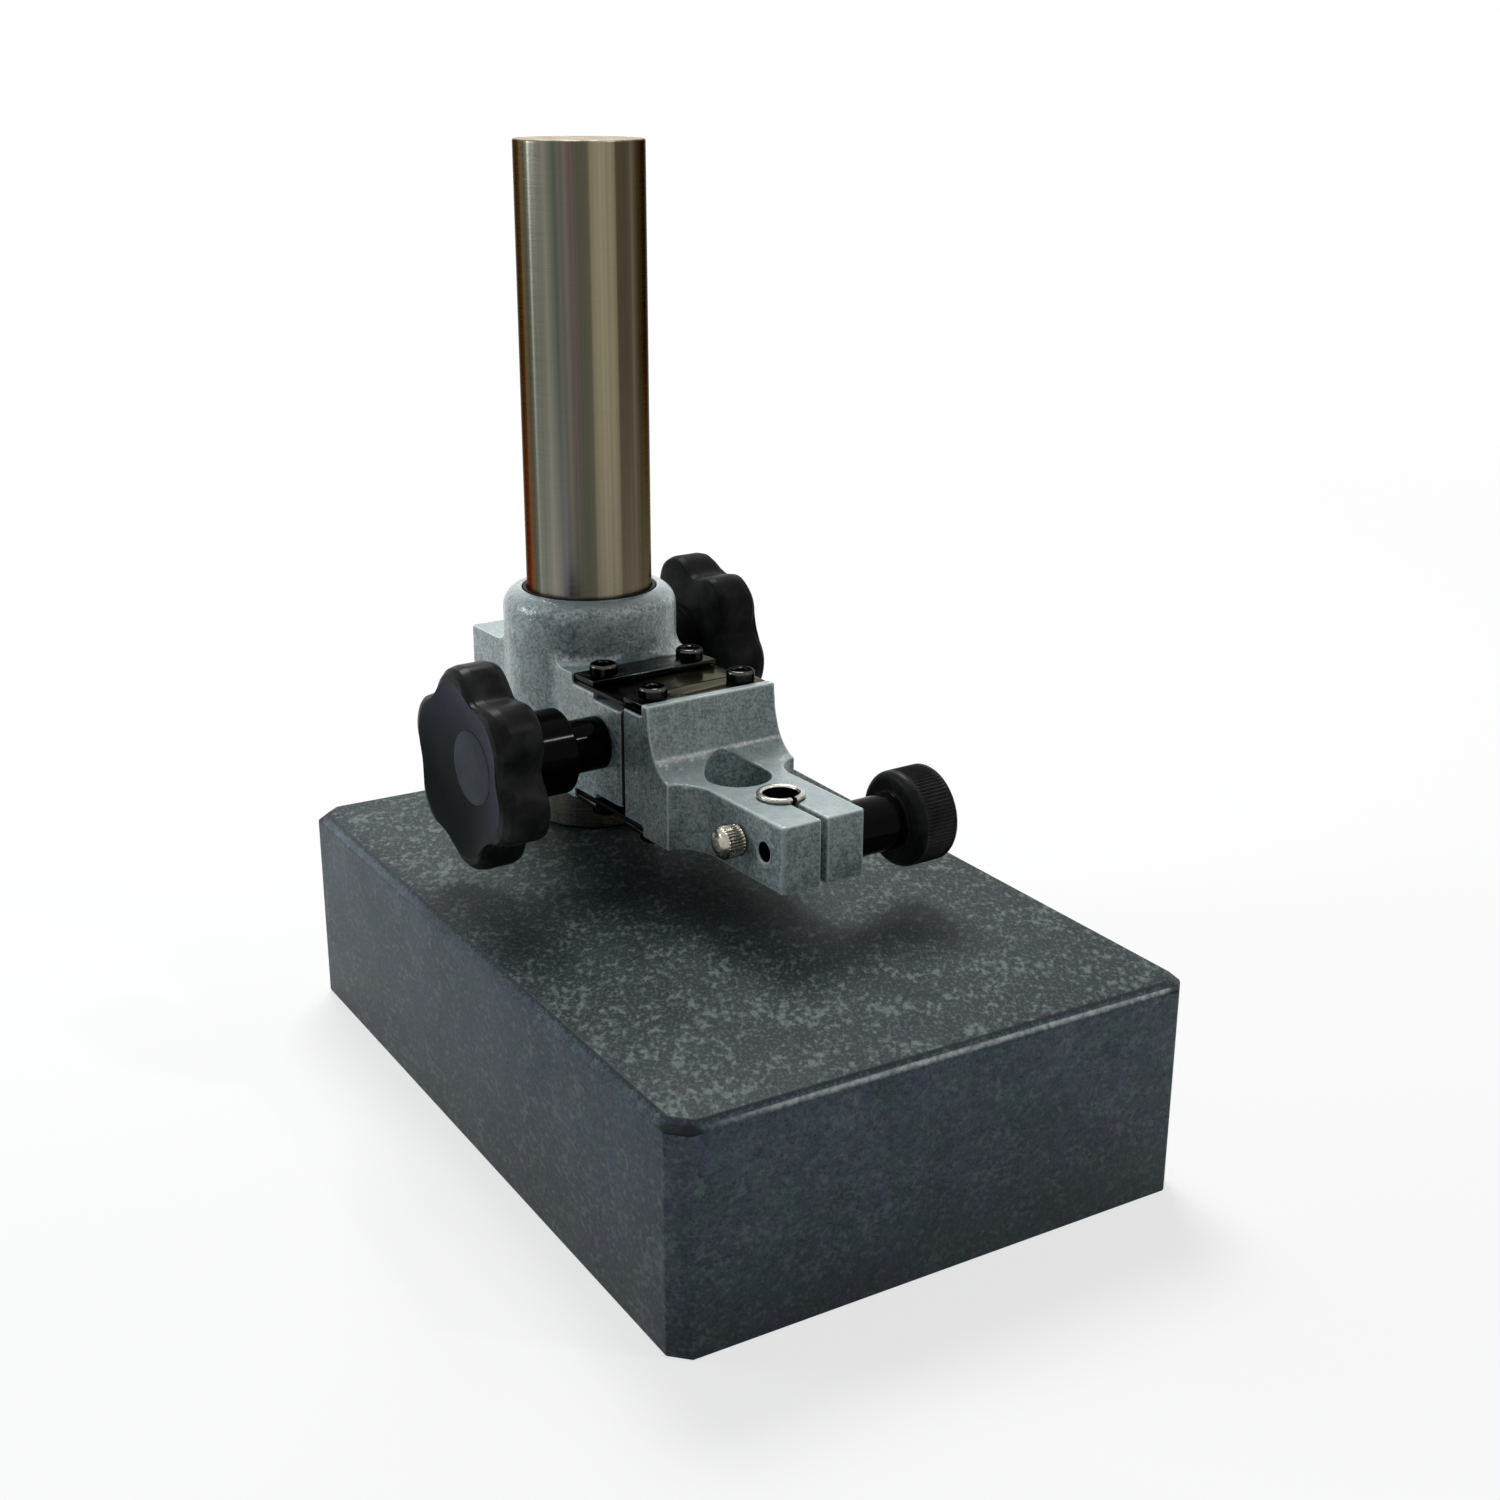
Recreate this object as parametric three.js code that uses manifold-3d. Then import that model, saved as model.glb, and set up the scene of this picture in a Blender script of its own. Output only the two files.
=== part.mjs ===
// Granite comparator stand: a granite block carries a ground steel column, and on the column slides and
// swivels a cast bracket whose front arm holds a dial gauge by its stem. Two leaf springs carry the arm on
// the bracket, and an eccentric spindle with a star knob moves it up and down by a fine amount.
// Millimetres and degrees, +Z up. The origin is the centre of the block's underside, the front faces -Y.

import * as THREE from 'three';
import { mergeVertices } from 'three/addons/utils/BufferGeometryUtils.js';
import Module from 'manifold-3d';

const wasm = await Module();
wasm.setup();

// Clearances shared by every fit
const fitGap = 0.3;
const overrun = 1.5;

// Granite block, with the column standing behind its centre
const baseWidth = 150;
const baseDepth = 230;
const baseHeight = 60;
const baseTopChamfer = 2.5;
const baseCornerChamfer = 4.6;
const columnSetback = 44.3;

// Column, and the bolt that pulls it down onto the block from a pocket underneath
const columnDiameter = 37;
const columnLength = 198;
const columnChamfer = 0.8;
const columnThreadDepth = 25;
const boltDiameter = 10;
const boltHeadDiameter = 16;
const boltHeadHeight = 10;
const boltSocketWidth = 8;
const boltSocketDepth = 5;
const boltPocketDiameter = 22;
const boltPocketDepth = 24;
const boltReach = 21;
const boltWasherDiameter = 20;
const boltWasherThickness = 2.5;

// Where the bracket stands at rest: its height above the granite and its swing to the right
const armClearance = 15.7;
const armSwing = 3.3;

// Bracket casting: a block with a round collar, split at the back between two clamp lugs
const bracketWidth = 42;
const bracketHeight = 37.8;
const bracketReach = 52;
const lugReach = 37.2;
const bracketCornerRadius = 2.4;
const lugCornerRadius = 0.8;
const lugSlitWidth = 3;
const collarDiameter = 51.6;
const collarRise = 18;
const collarRoundRadius = 6;
const collarFootFillet = 3.4;
const collarSideFillet = 5;

// Thin sleeve between the collar and the column
const linerThickness = 0.9;
const linerSlitWidth = 2;

// Leaf springs, the strips that clamp their ends, and the screws of the strips
const springThickness = 1;
const springSeatDepth = 3;
const springFront = 62.9;
const springRear = 26;
const springWidth = 41.2;
const springHoleDiameter = 5.8;
const stripThickness = 1.6;
const rearStripLength = 11;
const screwDiameter = 4.8;
const screwHeadDiameter = 8;
const screwHeadHeight = 3.2;
const screwHeadRound = 0.8;
const screwSocketWidth = 3;
const screwSocketDepth = 1.7;
const screwGrip = 9;
const screwSpacing = 28.9;
const rearScrewReach = 32.4;
const frontScrewReach = 59;

// Front arm casting: a block with a lip and a hollow flare, then a slimmer arm split at its tip
const armGap = 1.4;
const lipRise = 0.5;
const lipBack = 63.3;
const lipFront = 66.5;
const flareRise = 12.8;
const flareSteepDepth = 0.6;
const flareBendDepth = 2.4;
const flareBendRise = 0.7;
const armThickness = 18.7;
const armWidth = 26.2;
const armReach = 119.2;
const armSlitWidth = 2;
const waistWidth = 7.9;
const tipRadius = 1;
const pocketDepth = 12;
const bushSetback = 19.8;
const bushReach = armReach - bushSetback;

// The block's front, flare, waists and pocket share the arm's root, which runs from the lip to the bush
const armBlockShare = 0.301;
const flareRunShare = 0.3374;
const waistLengthShare = 0.298;
const pocketDiameterShare = 0.5593;
const pocketReachShare = 0.389;
const armRoot = bushReach - lipFront;
const armBlockFront = lipFront + armRoot * armBlockShare;
const flareRun = armRoot * flareRunShare;
const waistLength = armRoot * waistLengthShare;
const pocketDiameter = armRoot * pocketDiameterShare;
const pocketReach = lipFront + armRoot * pocketReachShare;

// Split bush for the gauge's stem, its set screw and its clamp screw
const stemBoreDiameter = 9.53;
const bushDiameter = 12.2;
const bushLipDiameter = 13.2;
const bushLipHeight = 1.1;
const bushLipRound = 0.5;
const bushSlitWidth = 1.2;
const setScrewDiameter = 3.4;
const setScrewHeadDiameter = 8.7;
const setScrewHeadLength = 7.4;
const setScrewRound = 1.3;
const stemClampSetback = 8.8;
const stemClampReach = armReach - stemClampSetback;
const stemClampScrewDiameter = 4.9;
const stemClampHubDiameter = 15.4;
const stemClampHubLength = 15.2;
const stemClampKnobDiameter = 26.6;
const stemClampKnobThickness = 13;
const stemClampKnobRound = 2.6;
const stemClampScrewTip = 7;
const stemClampScrewGrip = 9;

// Fine feed: an eccentric spindle across the bracket lifts a tongue of the front arm
const feedReach = 40.5;
const feedHeight = 21.3;
const feedShaftDiameter = 7;
const feedEccentricDiameter = 5.2;
const feedEccentricity = 0.5;
const feedTailDiameter = 4.2;
const feedSleeveDiameter = 15.2;
const feedSleeveLength = 13;
const feedSpigotDiameter = 10.4;
const feedSpigotLength = 11;
const feedShaftGrip = 20;
const tongueWidth = 13;
const tongueHeight = 12;
const tongueBack = 33.7;
const tonguePlay = 1.2;
const ringThickness = 1;
const ringDiameter = 8;

// Star knobs, one on the fine feed and one on the column clamp
const starDiameter = 57;
const starLobes = 6;
const starLobeSteps = 8;
const starValleyDepth = 5.4;
const starValleyPower = 1.5;
const starLength = 31.2;
const starRimThickness = 14.7;
// Along the rim's thickness from its face: the place, the lobes' radius there and the valleys' depth
const starRimShares = [
  [0, 0.885, 0.6],
  [0.06, 0.94, 0.85],
  [0.2, 1, 1],
  [0.8, 1, 1],
  [0.95, 0.95, 1],
  [1, 0.86, 0.9],
];
const starHubDiameter = 24.2;
const starHubFillet = 1.5;
const starDishDepth = 1.7;
const starCapDiameter = 20.4;
const starCapThickness = 2;
const grubDiameter = 4;
const grubLength = 6;
const grubSetback = 5;
const feedKnobTurn = -8;
const clampKnobTurn = -20;

// Column clamp: a screw across both lugs, with a spacer like the fine feed's sleeve
const clampReach = 27.6;
const clampHeight = 23;
const clampScrewDiameter = 8;
const clampScrewTip = 15;
const clampSpacerDiameter = 15.2;
const clampSpacerLength = 12.4;
const clampScrewGrip = 20;

// Facets round a full turn
const fineSides = 48;
const mediumSides = 32;
const coarseSides = 16;
const curveSteps = 8;

// Places worked out from the sizes above; those of the bracket and arm are measured from its underside
const columnPlace = baseDepth / 2 - columnSetback;
const columnRadius = columnDiameter / 2;
const linerInner = columnRadius + fitGap;
const linerOuter = linerInner + linerThickness;
const collarBore = linerOuter + fitGap;
const collarRadius = collarDiameter / 2;
const collarTop = bracketHeight + collarRise;
const halfBracket = bracketWidth / 2;
const halfArm = armWidth / 2;
const upperSeat = bracketHeight - springSeatDepth;
const lowerSeat = springSeatDepth;
const armBlockBack = bracketReach + armGap;
const screwHoleRadius = screwDiameter / 2 + fitGap;
const armMiddle = armThickness / 2;

// Steel, castings and plastics as the eye sees them
const finishes = {
  granite: { color: 0x3c4345, roughness: 0.45, metalness: 0 },
  groundSteel: { color: 0x9a9483, roughness: 0.25, metalness: 1 },
  hammeredPaint: { color: 0x8fa3a8, roughness: 0.45, metalness: 0.1 },
  blackPlastic: { color: 0x1b1c1d, roughness: 0.5, metalness: 0 },
  blackOxide: { color: 0x17181a, roughness: 0.35, metalness: 0.6 },
  springSteel: { color: 0x2a2924, roughness: 0.15, metalness: 1 },
  nickel: { color: 0xc4bfb4, roughness: 0.22, metalness: 1 },
  zincSteel: { color: 0xa9adb0, roughness: 0.4, metalness: 0.9 },
};

// A closed geometry becomes a solid that can be joined and cut
function toSolid(geometry) {
  const bare = geometry.clone();
  bare.deleteAttribute('normal');
  bare.deleteAttribute('uv');
  const merged = mergeVertices(bare);
  const triangles = new Uint32Array(merged.index.array);
  const vertices = new Float32Array(merged.attributes.position.array);
  return new wasm.Manifold(new wasm.Mesh({ numProp: 3, vertProperties: vertices, triVerts: triangles }));
}

// A solid becomes a geometry again
function toGeometry(solid) {
  const mesh = solid.getMesh();
  const geometry = new THREE.BufferGeometry();
  geometry.setAttribute('position', new THREE.BufferAttribute(mesh.vertProperties, 3));
  geometry.setIndex(new THREE.BufferAttribute(mesh.triVerts, 1));
  geometry.computeVertexNormals();
  return geometry;
}

function cutAll(solid, tools) {
  return tools.reduce((left, tool) => left.subtract(tool), solid);
}

// Rotations that lay a geometry's own axis along a world axis
const alongX = new THREE.Matrix4().makeRotationZ(-Math.PI / 2);
const alongZ = new THREE.Matrix4().makeRotationX(Math.PI / 2);
// A profile drawn with y across and z up, extruded along x
const profileAlongX = new THREE.Matrix4().makeBasis(
  new THREE.Vector3(0, 1, 0),
  new THREE.Vector3(0, 0, 1),
  new THREE.Vector3(1, 0, 0),
);

function box([x0, x1], [y0, y1], [z0, z1]) {
  const geometry = new THREE.BoxGeometry(x1 - x0, y1 - y0, z1 - z0);
  return toSolid(geometry.translate((x0 + x1) / 2, (y0 + y1) / 2, (z0 + z1) / 2));
}

function rodX(radius, [x0, x1], y, z, sides = coarseSides) {
  const geometry = new THREE.CylinderGeometry(radius, radius, x1 - x0, sides);
  return toSolid(geometry.applyMatrix4(alongX).translate((x0 + x1) / 2, y, z));
}

function rodZ(radius, [z0, z1], x, y, sides = coarseSides) {
  const geometry = new THREE.CylinderGeometry(radius, radius, z1 - z0, sides);
  return toSolid(geometry.applyMatrix4(alongZ).translate(x, y, (z0 + z1) / 2));
}

// A profile of [radius, height] points turned about an upright axis
function turnedZ(profile, sides = mediumSides) {
  const points = profile.map(([radius, height]) => new THREE.Vector2(radius, height));
  return toSolid(new THREE.LatheGeometry(points, sides).applyMatrix4(alongZ));
}

// The same about a level axis: the profile's heights become x
function turnedX(profile, sides = mediumSides) {
  const points = profile.map(([radius, height]) => new THREE.Vector2(radius, height));
  return toSolid(new THREE.LatheGeometry(points, sides).applyMatrix4(alongX));
}

// Points of a quarter turn on a [radius, height] profile, from one angle to another
function arcPoints(centreRadius, centreHeight, radius, fromDegrees, toDegrees, steps) {
  return Array.from({ length: steps + 1 }, (_, step) => {
    const angle = THREE.MathUtils.degToRad(fromDegrees + ((toDegrees - fromDegrees) * step) / steps);
    return [centreRadius + radius * Math.cos(angle), centreHeight + radius * Math.sin(angle)];
  });
}

// Rings of equally many points, joined by facets and closed by a fan at each end
function loft(rings) {
  const count = rings[0].length;
  const centre = (ring) => ring.reduce((sum, point) => sum.clone().add(point)).divideScalar(count);
  const points = [...rings.flat(), centre(rings[0]), centre(rings[rings.length - 1])];
  const firstCentre = rings.length * count;
  const lastCentre = firstCentre + 1;
  const lastRing = (rings.length - 1) * count;
  const triangles = [];
  for (let side = 0; side < count; side += 1) {
    const next = (side + 1) % count;
    triangles.push(firstCentre, next, side);
    triangles.push(lastCentre, lastRing + side, lastRing + next);
    for (let ring = 0; ring < rings.length - 1; ring += 1) {
      const low = ring * count;
      const high = low + count;
      triangles.push(low + side, low + next, high + next);
      triangles.push(low + side, high + next, high + side);
    }
  }
  const geometry = new THREE.BufferGeometry();
  const numbers = points.flatMap((point) => point.toArray());
  geometry.setAttribute('position', new THREE.Float32BufferAttribute(numbers, 3));
  geometry.setIndex(triangles);
  return toSolid(geometry);
}

// A ring of points round the x axis whose radius follows the angle
function ringX(x, count, radiusAt) {
  return Array.from({ length: count }, (_, step) => {
    const angle = (2 * Math.PI * step) / count;
    const radius = radiusAt(angle, step);
    return new THREE.Vector3(x, radius * Math.cos(angle), radius * Math.sin(angle));
  });
}

function makeGraniteBase() {
  const outline = (inset, z) => {
    const x = baseWidth / 2 - inset;
    const y = baseDepth / 2 - inset;
    const cut = baseCornerChamfer;
    const corners = [[x, y - cut], [x - cut, y], [cut - x, y], [-x, y - cut]];
    const mirrored = corners.map(([cornerX, cornerY]) => [-cornerX, -cornerY]);
    return [...corners, ...mirrored].map(([cornerX, cornerY]) => new THREE.Vector3(cornerX, cornerY, z));
  };
  const chamferFoot = baseHeight - baseTopChamfer;
  const block = loft([outline(0, 0), outline(0, chamferFoot), outline(baseTopChamfer, baseHeight)]);
  const boltHole = rodZ(boltDiameter / 2 + fitGap, [-overrun, baseHeight + overrun], 0, columnPlace);
  const boltPocket = rodZ(boltPocketDiameter / 2, [-overrun, boltPocketDepth], 0, columnPlace, mediumSides);
  return cutAll(block, [boltHole, boltPocket]);
}

function makeColumn() {
  const threadRadius = boltDiameter / 2 + fitGap;
  return turnedZ([
    [0, columnThreadDepth],
    [threadRadius, columnThreadDepth],
    [threadRadius, 0],
    [columnRadius - columnChamfer, 0],
    [columnRadius, columnChamfer],
    [columnRadius, columnLength - columnChamfer],
    [columnRadius - columnChamfer, columnLength],
    [0, columnLength],
  ], fineSides);
}

// The bolt's head hangs below its origin and its shank rises above it
function makeColumnBolt() {
  const shankTop = baseHeight - boltPocketDepth + boltReach + boltWasherThickness + fitGap;
  const bolt = turnedZ([
    [0, -boltHeadHeight],
    [boltHeadDiameter / 2, -boltHeadHeight],
    [boltHeadDiameter / 2, 0],
    [boltDiameter / 2, 0],
    [boltDiameter / 2, shankTop],
    [0, shankTop],
  ], coarseSides);
  const socketFloor = boltSocketDepth - boltHeadHeight;
  const socket = rodZ(boltSocketWidth / Math.sqrt(3), [-boltHeadHeight - overrun, socketFloor], 0, 0, 6);
  return bolt.subtract(socket);
}

function makeWasher(outer, inner, thickness) {
  return turnedZ([[inner, 0], [outer, 0], [outer, thickness], [inner, thickness], [inner, 0]], coarseSides);
}

// A thin sleeve, open along its back, between the column and the collar
function makeCollarLiner() {
  const top = collarTop - fitGap;
  const bottom = fitGap;
  const sleeve = turnedZ([
    [linerInner, bottom],
    [linerOuter, bottom],
    [linerOuter, top],
    [linerInner, top],
    [linerInner, bottom],
  ], fineSides);
  const slitHeights = [-overrun, collarTop + overrun];
  const slit = box([-linerSlitWidth / 2, linerSlitWidth / 2], [0, collarRadius], slitHeights);
  return sleeve.subtract(slit);
}

function extrude(shape, depth, curveSegments) {
  return toSolid(new THREE.ExtrudeGeometry(shape, { depth, bevelEnabled: false, curveSegments }));
}

// The bracket seen from above: front block and rear lugs run into the round collar by hollow fillets
function bracketOutline() {
  const centreX = halfBracket + collarSideFillet;
  const centreY = Math.sqrt((collarRadius + collarSideFillet) ** 2 - centreX ** 2);
  const turn = Math.atan2(centreY, centreX);
  const corner = lugCornerRadius;
  const fillet = collarSideFillet;
  const front = bracketCornerRadius;
  const shape = new THREE.Shape();
  shape.absarc(front - halfBracket, front - bracketReach, front, Math.PI, 1.5 * Math.PI, false);
  shape.absarc(halfBracket - front, front - bracketReach, front, 1.5 * Math.PI, 2 * Math.PI, false);
  shape.absarc(centreX, -centreY, fillet, Math.PI, Math.PI - turn, true);
  shape.absarc(0, 0, collarRadius, -turn, turn, false);
  shape.absarc(centreX, centreY, fillet, Math.PI + turn, Math.PI, true);
  shape.absarc(halfBracket - corner, lugReach - corner, corner, 0, Math.PI / 2, false);
  shape.absarc(corner - halfBracket, lugReach - corner, corner, Math.PI / 2, Math.PI, false);
  shape.absarc(-centreX, centreY, fillet, 0, -turn, true);
  shape.absarc(0, 0, collarRadius, Math.PI - turn, Math.PI + turn, false);
  shape.absarc(-centreX, -centreY, fillet, turn, 0, true);
  return shape;
}

function makeBracket() {
  const round = collarRoundRadius;
  const collar = turnedZ([
    [0, 0],
    [collarRadius, 0],
    ...arcPoints(collarRadius - round, collarTop - round, round, 0, 90, 6),
    [0, collarTop],
  ], fineSides);
  const footRadius = collarRadius + collarFootFillet;
  const foot = turnedZ([
    [0, lowerSeat],
    [footRadius, lowerSeat],
    ...arcPoints(footRadius, bracketHeight + collarFootFillet, collarFootFillet, 270, 180, 4),
    [0, bracketHeight + collarFootFillet],
  ], fineSides).intersect(extrude(bracketOutline(), collarTop, curveSteps));
  const body = extrude(bracketOutline(), bracketHeight, curveSteps).add(collar).add(foot);

  const past = halfBracket + overrun;
  const front = -bracketReach - overrun;
  const rebateRear = -springRear + fitGap;
  const spigotEnd = -halfBracket + feedSpigotLength + fitGap;
  const tools = [
    rodZ(collarBore, [-overrun, collarTop + overrun], 0, 0, fineSides),
    box([-lugSlitWidth / 2, lugSlitWidth / 2], [0, lugReach + overrun], [-overrun, collarTop + overrun]),
    box([-past, past], [front, rebateRear], [upperSeat, collarTop]),
    box([-past, past], [front, rebateRear], [-overrun, lowerSeat]),
    box([-tongueWidth / 2 - tonguePlay, tongueWidth / 2 + tonguePlay],
      [front, -tongueBack + tonguePlay],
      [feedHeight - tongueHeight / 2 - tonguePlay, feedHeight + tongueHeight / 2 + tonguePlay]),
    rodX(feedSpigotDiameter / 2 + fitGap, [-past, spigotEnd], -feedReach, feedHeight),
    rodX(feedShaftDiameter / 2 + fitGap, [-past, 0], -feedReach, feedHeight),
    rodX(feedTailDiameter / 2 + fitGap, [0, past], -feedReach, feedHeight),
    rodX(clampScrewDiameter / 2 + fitGap, [-clampScrewTip - fitGap, past], clampReach, clampHeight),
  ];
  for (const x of [-screwSpacing / 2, screwSpacing / 2]) {
    tools.push(rodZ(screwHoleRadius, [upperSeat - screwGrip, collarTop], x, -rearScrewReach));
    tools.push(rodZ(screwHoleRadius, [-overrun, lowerSeat + screwGrip], x, -rearScrewReach));
  }
  return cutAll(body, tools);
}

function makeSpring() {
  const plate = box([-springWidth / 2, springWidth / 2], [-springFront, -springRear], [0, springThickness]);
  const holes = [];
  for (const x of [-screwSpacing / 2, screwSpacing / 2]) {
    for (const reach of [rearScrewReach, frontScrewReach]) {
      holes.push(rodZ(springHoleDiameter / 2, [-overrun, springThickness + overrun], x, -reach));
    }
  }
  return cutAll(plate, holes);
}

function makeStrip(front, rear, screwReach) {
  const plate = box([-springWidth / 2, springWidth / 2], [-front, -rear], [0, stripThickness]);
  const holes = [-screwSpacing / 2, screwSpacing / 2].map((x) =>
    rodZ(springHoleDiameter / 2, [-overrun, stripThickness + overrun], x, -screwReach));
  return cutAll(plate, holes);
}

// A low socket head screw, head up, with the underside of its head at the origin
function makeScrew(shankLength) {
  const headRadius = screwHeadDiameter / 2;
  const screw = turnedZ([
    [0, -shankLength],
    [screwDiameter / 2, -shankLength],
    [screwDiameter / 2, 0],
    [headRadius, 0],
    ...arcPoints(headRadius - screwHeadRound, screwHeadHeight - screwHeadRound, screwHeadRound, 0, 90, 3),
    [0, screwHeadHeight],
  ], coarseSides);
  const socketFloor = screwHeadHeight - screwSocketDepth;
  const socket = rodZ(screwSocketWidth / Math.sqrt(3), [socketFloor, screwHeadHeight + overrun], 0, 0, 6);
  return screw.subtract(socket);
}

// The side view of the front block: underside, rear face, spring seat, lip and the hollow flare in front
function frontBlockProfile() {
  const lipTop = bracketHeight + lipRise;
  const flareTop = armThickness + flareRise;
  const steep = -lipFront - flareSteepDepth;
  const flareEnd = steep - flareRun;
  const shape = new THREE.Shape();
  shape.moveTo(flareEnd, armThickness - overrun);
  shape.lineTo(-armBlockFront, armThickness - overrun);
  shape.lineTo(-armBlockFront, 0);
  shape.lineTo(-lipBack, 0);
  shape.lineTo(-lipBack, lowerSeat);
  shape.lineTo(-armBlockBack, lowerSeat);
  shape.lineTo(-armBlockBack, upperSeat);
  shape.lineTo(-lipBack, upperSeat);
  shape.lineTo(-lipBack, lipTop);
  shape.lineTo(-lipFront, lipTop);
  shape.lineTo(steep, flareTop);
  shape.quadraticCurveTo(steep - flareBendDepth, armThickness + flareBendRise, flareEnd, armThickness);
  return shape;
}

// The arm seen from above: hollow waists run from the block's front corners into its sides
function armOutline() {
  const shape = new THREE.Shape();
  const waistX = halfArm + waistWidth;
  const waistY = -armBlockFront - waistLength;
  const tip = tipRadius;
  shape.moveTo(halfArm, waistY);
  shape.absellipse(waistX, waistY, waistWidth, waistLength, Math.PI, Math.PI / 2, true);
  shape.lineTo(halfBracket, -armBlockBack);
  shape.lineTo(-halfBracket, -armBlockBack);
  shape.lineTo(-halfBracket, -armBlockFront);
  shape.absellipse(-waistX, waistY, waistWidth, waistLength, Math.PI / 2, 0, true);
  shape.absarc(tip - halfArm, tip - armReach, tip, Math.PI, 1.5 * Math.PI, false);
  shape.absarc(halfArm - tip, tip - armReach, tip, 1.5 * Math.PI, 2 * Math.PI, false);
  return shape;
}

function makeFrontArm() {
  const block = extrude(frontBlockProfile(), bracketWidth, curveSteps)
    .transform(profileAlongX.elements)
    .translate([-halfBracket, 0, 0])
    .intersect(extrude(armOutline(), bracketHeight + armGap, curveSteps));
  const arm = extrude(armOutline(), armThickness, curveSteps);
  const tongue = box([-tongueWidth / 2, tongueWidth / 2], [-armBlockBack - overrun, -tongueBack],
    [feedHeight - tongueHeight / 2, feedHeight + tongueHeight / 2]);
  const slotHalfHeight = feedEccentricDiameter / 2 + fitGap;
  const slotHalfLength = slotHalfHeight + feedEccentricity;
  const pastTongue = tongueWidth / 2 + overrun;
  const past = halfBracket + overrun;
  const slitFront = -armReach - overrun;
  const tools = [
    box([-past, past], [-lipBack, -armBlockBack + overrun], [-overrun, lowerSeat]),
    box([-pastTongue, pastTongue], [-feedReach - slotHalfLength, -feedReach + slotHalfLength],
      [feedHeight - slotHalfHeight, feedHeight + slotHalfHeight]),
    rodZ(bushDiameter / 2 + fitGap, [-overrun, armThickness + overrun], 0, -bushReach, mediumSides),
    box([-armSlitWidth / 2, armSlitWidth / 2], [slitFront, -bushReach], [-overrun, armThickness + overrun]),
    rodZ(pocketDiameter / 2, [armThickness - pocketDepth, bracketHeight], 0, -pocketReach, mediumSides),
    rodX(setScrewDiameter / 2 + fitGap, [-past, 0], -bushReach, armMiddle),
    rodX(stemClampScrewDiameter / 2 + fitGap, [-past, past], -stemClampReach, armMiddle),
  ];
  for (const x of [-screwSpacing / 2, screwSpacing / 2]) {
    tools.push(rodZ(screwHoleRadius, [upperSeat - screwGrip, bracketHeight], x, -frontScrewReach));
    tools.push(rodZ(screwHoleRadius, [-overrun, lowerSeat + screwGrip], x, -frontScrewReach));
  }
  return cutAll(block.add(arm).add(tongue), tools);
}

// The bush stands in the arm's bore, with its rounded lip on top and its slit towards the tip
function makeStemBush() {
  const bore = stemBoreDiameter / 2;
  const lipTop = armThickness + fitGap + bushLipHeight;
  const lipRadius = bushLipDiameter / 2;
  const bush = turnedZ([
    [bore, 0],
    [bushDiameter / 2, 0],
    [bushDiameter / 2, armThickness + fitGap],
    [lipRadius, armThickness + fitGap],
    ...arcPoints(lipRadius - bushLipRound, lipTop - bushLipRound, bushLipRound, 0, 90, 3),
    [bore, lipTop],
    [bore, 0],
  ]);
  const slitHeights = [-overrun, lipTop + overrun];
  const slit = box([-bushSlitWidth / 2, bushSlitWidth / 2], [-bushLipDiameter, 0], slitHeights);
  return bush.subtract(slit);
}

// A barrel along x from the origin, with both of its ends rounded
function barrel(radius, length, roundRadius) {
  return turnedX([
    [0, 0],
    ...arcPoints(radius - roundRadius, roundRadius, roundRadius, -90, 0, 4),
    ...arcPoints(radius - roundRadius, length - roundRadius, roundRadius, 0, 90, 4),
    [0, length],
  ]);
}

// The knurled set screw bears on the bush from the arm's left side
function makeSetScrew() {
  const head = barrel(setScrewHeadDiameter / 2, setScrewHeadLength, setScrewRound)
    .translate([-setScrewHeadLength, 0, 0]);
  const shankLength = halfArm - bushDiameter / 2;
  return head.add(rodX(setScrewDiameter / 2, [-setScrewRound, shankLength], 0, 0));
}

function makeStemClampScrew() {
  const end = halfArm + fitGap + stemClampHubLength + stemClampScrewGrip;
  return rodX(stemClampScrewDiameter / 2, [-stemClampScrewTip, end], 0, 0);
}

// A round knob whose hub meets the arm: the hub's end is at the origin and the knob lies towards +x
function makeStemClampKnob() {
  const grip = barrel(stemClampKnobDiameter / 2, stemClampKnobThickness, stemClampKnobRound)
    .translate([stemClampHubLength, 0, 0]);
  const hubEnd = stemClampHubLength + stemClampKnobRound;
  const hub = rodX(stemClampHubDiameter / 2, [0, hubEnd], 0, 0, mediumSides);
  const boreEnd = stemClampHubLength + stemClampScrewGrip + fitGap;
  const bore = rodX(stemClampScrewDiameter / 2 + fitGap, [-overrun, boreEnd], 0, 0);
  return hub.add(grip).subtract(bore);
}

// A lobed knob along x: its face is at -starLength and its hub ends at the origin
function makeStarKnob(boreRadius, boreDepth) {
  const radius = starDiameter / 2;
  const hub = starHubDiameter / 2;
  const face = -starLength;
  const count = starLobes * starLobeSteps;
  const lobed = (size, depth) => (angle) => {
    const valley = (0.5 - 0.5 * Math.cos(starLobes * (angle - Math.PI / 2))) ** starValleyPower;
    return radius * size - starValleyDepth * depth * valley;
  };
  const round = (size) => () => size;
  const rimBack = face + starRimThickness;
  const seat = starCapDiameter / 2 + fitGap;
  const body = loft([
    ringX(face + starDishDepth, count, round(seat)),
    ...starRimShares.map(([along, size, depth]) =>
      ringX(face + starRimThickness * along, count, lobed(size, depth))),
    ringX(rimBack, count, round(hub + starHubFillet)),
    ringX(rimBack + starHubFillet, count, round(hub)),
    ringX(0, count, round(hub)),
  ]);
  const capSeat = rodX(seat, [face, face + starDishDepth + starCapThickness + fitGap], 0, 0, mediumSides);
  const bore = rodX(boreRadius, [-boreDepth, overrun], 0, 0);
  return cutAll(body, [capSeat, bore]);
}

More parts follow.
